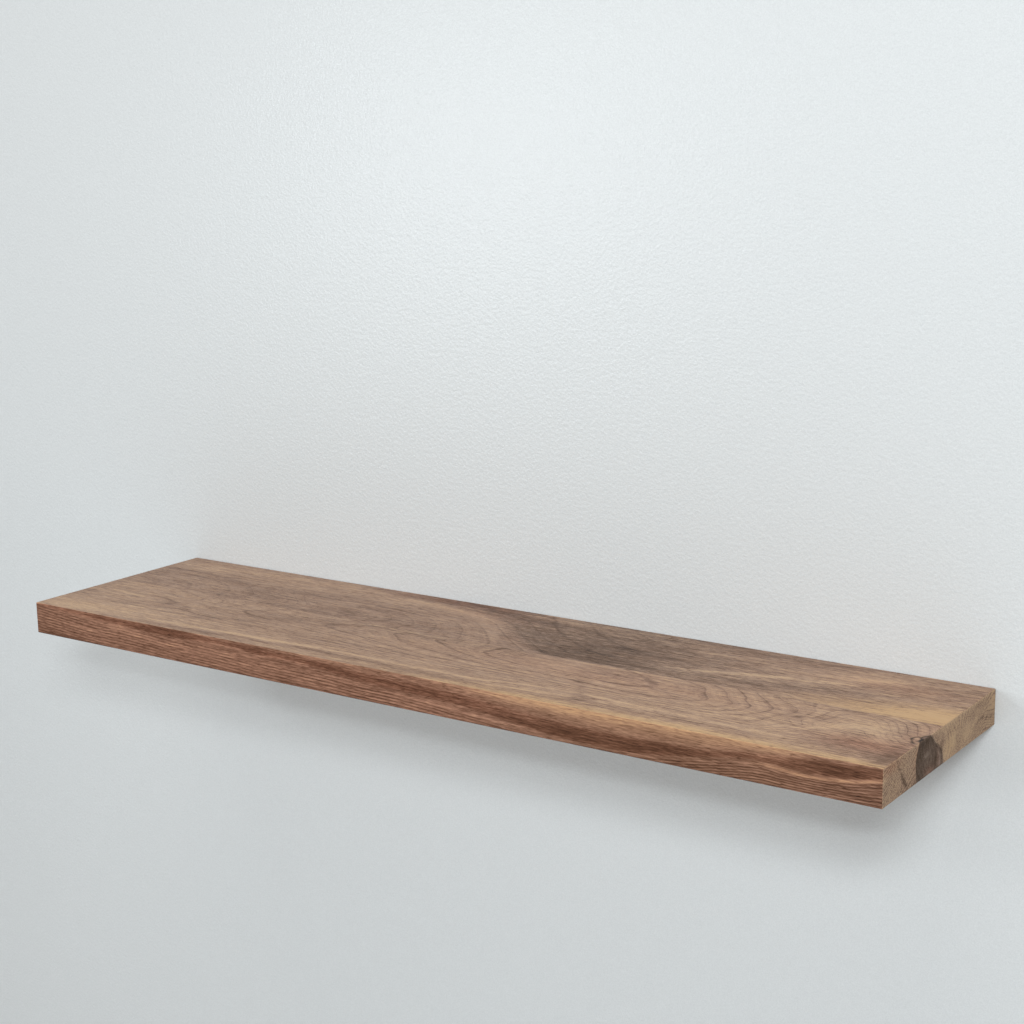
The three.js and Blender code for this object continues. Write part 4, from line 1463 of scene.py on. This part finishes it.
def screw_data(front, point, head_radius):
    """A wall screw along Y: a countersunk head with a star socket, a plain shank and a thread."""
    rings = [
        star_ring(front + STAR_DEPTH),
        star_ring(front),
        ring_of(head_radius, SCREW_SIDES, front),
        ring_of(head_radius, SCREW_SIDES, front + HEAD_RIM),
        ring_of(SHANK_RADIUS, SCREW_SIDES, front + HEAD_HEIGHT),
        ring_of(SHANK_RADIUS, SCREW_SIDES, PLAIN_SHANK - THREAD_PITCH / 2),
    ]
    thread_end = point - BLUNT_POINT
    count = int((thread_end - PLAIN_SHANK) / THREAD_PITCH * THREAD_ROWS)
    rings += [thread_ring(place, point) for place in np.linspace(PLAIN_SHANK, thread_end, count)]
    return tube_data(rings)


def insert_data(radius, foot, head):
    """A threaded insert as a chamfered ring about Z."""
    profile = (
        (INSERT_BORE + INSERT_CHAMFER, foot), (radius - INSERT_CHAMFER, foot),
        (radius, foot + INSERT_CHAMFER), (radius, head),
        (INSERT_BORE, head), (INSERT_BORE, foot + INSERT_CHAMFER),
    )
    points = [point for size, place in profile for point in ring_of(size, INSERT_SIDES, place)]
    rows = range(len(profile))
    return upright((points, ring_quads(pairwise((*rows, 0)), INSERT_SIDES)))


def add_piece(node, body, data, place, material):
    """A new piece that stands for a node and moves with its body."""
    piece = object_from(node + "_piece", data, place)
    give_material(piece, material)
    finish_smooth(piece)
    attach(piece, body)
    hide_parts(node)


def make_bracket():
    """The rods with their welds, the wall screws and the bar's steel."""
    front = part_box("wall_bar")[0].y
    steel = rod_steel()
    for rod in RODS:
        data = rod_data(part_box(rod)[0].y, front)
        add_piece(rod, "bracket", data, (centre_of(rod).x, 0, 0), steel)
    zinc = zinc_plate()
    for screw in WALL_SCREWS:
        low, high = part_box(screw)
        middle = (low + high) / 2
        data = screw_data(low.y, high.y, (high.x - low.x) / 2)
        add_piece(screw, "bracket", data, (middle.x, 0, middle.z), zinc)
    spacing = (centre_of(RODS[-1]).x - centre_of(RODS[0]).x) / (len(RODS) - 1)
    give_material(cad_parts["wall_bar"], bar_steel(spacing))


def make_locks_and_biscuits():
    """The inserts as chamfered rings. The grub screws and the biscuits keep their CAD shapes."""
    yellow = brass()
    for insert in INSERTS:
        low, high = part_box(insert)
        middle = (low + high) / 2
        data = insert_data((high.x - low.x) / 2, low.z, high.z)
        add_piece(insert, "shelf", data, (middle.x, middle.y, 0), yellow)
    black = black_steel()
    for screw in LOCK_SCREWS:
        give_material(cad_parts[screw], black)
    pale = beech()
    for biscuit in BISCUITS:
        give_material(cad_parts[biscuit], pale)


# The room: a pale wall that the shelf hangs on, a pale floor far below, and soft lights

WALL_GAP = 0.4 * MM
WALL_HALF_WIDTH = 5.0
WALL_TOP = 3.0
FLOOR_HEIGHT = -1.25
FLOOR_HALF_SIZE = 9.0
HOLE_MARGIN = 2 * MM
WALL_COLOUR = "dddedd"
WALL_SHADE = "d2d3d2"
FLOOR_COLOUR = "dcdcdc"
AMBIENT_STRENGTH = 0.28
BACKGROUND_STRENGTH = 0.6


def sheet_object(name, corners, material):
    """A flat sheet of the room, which isn't part of the shelf."""
    mesh = bpy.data.meshes.new(name)
    mesh.from_pydata(corners, [], [tuple(range(len(corners)))])
    thing = add_object(name, mesh)
    give_material(thing, material)
    return thing


def clear_from_behind(s):
    """Lets views from behind the wall or below the floor see the shelf."""
    clear = s.result(0, "ShaderNodeBsdfTransparent")
    behind = s.result("Backfacing", "ShaderNodeNewGeometry")
    mixed = s.result(0, "ShaderNodeMixShader", {0: behind, 1: Value(s, s.surface.outputs[0]), 2: clear})
    s.feed(s.tree.nodes["Material Output"].inputs["Surface"], mixed)


def wall_paint():
    """Satin paint with a faint roller texture."""
    s = Shader("wall_paint")
    specks = s.noise(620, 3.0, 0.7)
    s.set(Base_Color=s.ramp(specks, ((0.3, linear(WALL_SHADE)), (0.7, linear(WALL_COLOUR)))))
    s.set(Roughness=0.3, Specular_IOR_Level=0.5)
    s.bump(s.noise(230, 3.0, 0.6), 1.0, 0.6 * MM)
    clear_from_behind(s)
    return s.material


def floor_paint():
    """Matt paint, a little uneven."""
    s = Shader("floor_paint")
    s.set(Base_Color=linear(FLOOR_COLOUR), Roughness=0.7)
    s.bump(s.noise(90), 0.1, 0.2 * MM)
    clear_from_behind(s)
    return s.material


def make_wall(material):
    """Four sheets round the board's back, and one behind it that only the camera sees.

    Light from behind then reaches the board's back, which the wall doesn't hide from there.
    """
    inner_x = HALF_LENGTH - HOLE_MARGIN
    inner_z = HALF_THICKNESS - HOLE_MARGIN
    pieces = {
        "wall_left": (-WALL_HALF_WIDTH, -inner_x, FLOOR_HEIGHT, WALL_TOP),
        "wall_right": (inner_x, WALL_HALF_WIDTH, FLOOR_HEIGHT, WALL_TOP),
        "wall_above": (-inner_x, inner_x, inner_z, WALL_TOP),
        "wall_below": (-inner_x, inner_x, FLOOR_HEIGHT, -inner_z),
        "wall_behind": (-inner_x, inner_x, -inner_z, inner_z),
    }
    for name, (left, right, foot, head) in pieces.items():
        sides = ((left, foot), (right, foot), (right, head), (left, head))
        corners = [(x, WALL_GAP, z) for x, z in sides]
        wall = sheet_object(name, corners, material)
    # The last of them is wall_behind.
    wall.visible_diffuse = False
    wall.visible_glossy = False
    wall.visible_transmission = False
    wall.visible_shadow = False


def make_floor(material):
    size = FLOOR_HALF_SIZE
    sides = ((-size, -size), (size, -size), (size, size), (-size, size))
    sheet_object("floor", [(x, y, FLOOR_HEIGHT) for x, y in sides], material)


DAYLIGHT = (0.89, 0.955, 1.0)
CEILING_WHITE = (0.99, 0.99, 0.98)
ROOM_WHITE = (1.0, 0.99, 0.97, 1.0)


def soft_light(name, place, target, size, power, colour=DAYLIGHT, mirrored=True):
    """A rectangular lamp. The satin wall shows the mirrored ones as faint patches."""
    data = bpy.data.lights.new(name, "AREA")
    data.shape = "RECTANGLE"
    data.size, data.size_y = size
    data.energy = power
    data.color = colour
    lamp = add_object(name, data)
    lamp.location = place
    lamp.rotation_euler = (Vector(target) - Vector(place)).to_track_quat("-Z", "Y").to_euler()
    lamp.visible_glossy = mirrored


def light_room():
    """Lamps high on the right cast the shadow. The rest comes softly from above and the left."""
    board = (0, 0, 0)
    soft_light("key", (1.58, -2.44, 1.11), board, (0.5, 0.08), 20)
    soft_light("high_right", (1.51, -2.44, 1.45), board, (0.7, 0.28), 31, mirrored=False)
    soft_light("high_left", (-1.60, -2.44, 1.20), board, (0.8, 0.3), 11, mirrored=False)
    soft_light("ceiling", (-0.2, -1.3, 4.6), (-0.2, -1.0, 0), (4.0, 1.6), 66, CEILING_WHITE)
    soft_light("left_window", (-1.78, -2.44, 0.50), (-0.2, 0, 0.4), (0.5, 0.45), 13)
    soft_light("fill", (-0.35, -2.44, 0.55), (-0.1, 0, 0.1), (0.8, 0.5), 3.7, mirrored=False)


def surround():
    """Dim light from all round. What shows past the room is brighter than the light it gives."""
    world = bpy.data.worlds.new("room")
    world.use_nodes = True
    tree = world.node_tree
    # It shows to the camera, also through glossy and clear things.
    rays = tree.nodes.new("ShaderNodeLightPath")
    seen = rays.outputs["Is Camera Ray"]
    for ray in ("Is Glossy Ray", "Is Transmission Ray"):
        either = tree.nodes.new("ShaderNodeMath")
        either.operation = "MAXIMUM"
        tree.links.new(seen, either.inputs[0])
        tree.links.new(rays.outputs[ray], either.inputs[1])
        seen = either.outputs[0]
    strength = tree.nodes.new("ShaderNodeMapRange")
    strength.inputs["To Min"].default_value = AMBIENT_STRENGTH
    strength.inputs["To Max"].default_value = BACKGROUND_STRENGTH
    tree.links.new(seen, strength.inputs["Value"])
    background = tree.nodes["Background"]
    background.inputs["Color"].default_value = ROOM_WHITE
    tree.links.new(strength.outputs[0], background.inputs["Strength"])
    bpy.context.scene.world = world


# The camera stands where the photograph's did. Its focal length and the picture's size are in pixels,
# and its sensor is in millimetres. It is turned against the board by a rotation vector, and the
# offset is where the board's origin lies from it, to its right, down and ahead, in board lengths.
PICTURE_SIZE = 1024
FOCAL_PIXELS = 1817.73
SENSOR = 36.0
CAMERA_TURN = (0.2058, 0.6077, 0.0473)
CAMERA_OFFSET = (0.0279, 0.1242, 1.9290)


def make_camera():
    """The scene's camera, from the photograph's turn and offset."""
    turn = Vector(CAMERA_TURN)
    looking = Matrix.Rotation(turn.length, 3, turn.normalized())
    board_axes = Matrix(((1, 0, 0), (0, 0, -1), (0, 1, 0)))
    rows = looking @ board_axes
    place = -(rows.transposed() @ (Vector(CAMERA_OFFSET) * LENGTH))
    data = bpy.data.cameras.new("camera")
    data.sensor_width = SENSOR
    data.lens = FOCAL_PIXELS / PICTURE_SIZE * SENSOR
    data.clip_start = 0.05
    data.clip_end = 60
    camera = add_object("camera", data)
    axes = Matrix((rows[0], -rows[1], -rows[2])).transposed()
    camera.matrix_world = Matrix.Translation(place) @ axes.to_4x4()
    bpy.context.scene.camera = camera


make_camera()
make_staves(walnut())
make_bracket()
make_locks_and_biscuits()
make_wall(wall_paint())
make_floor(floor_paint())
light_room()
surround()
bpy.context.scene.view_settings.view_transform = "Standard"
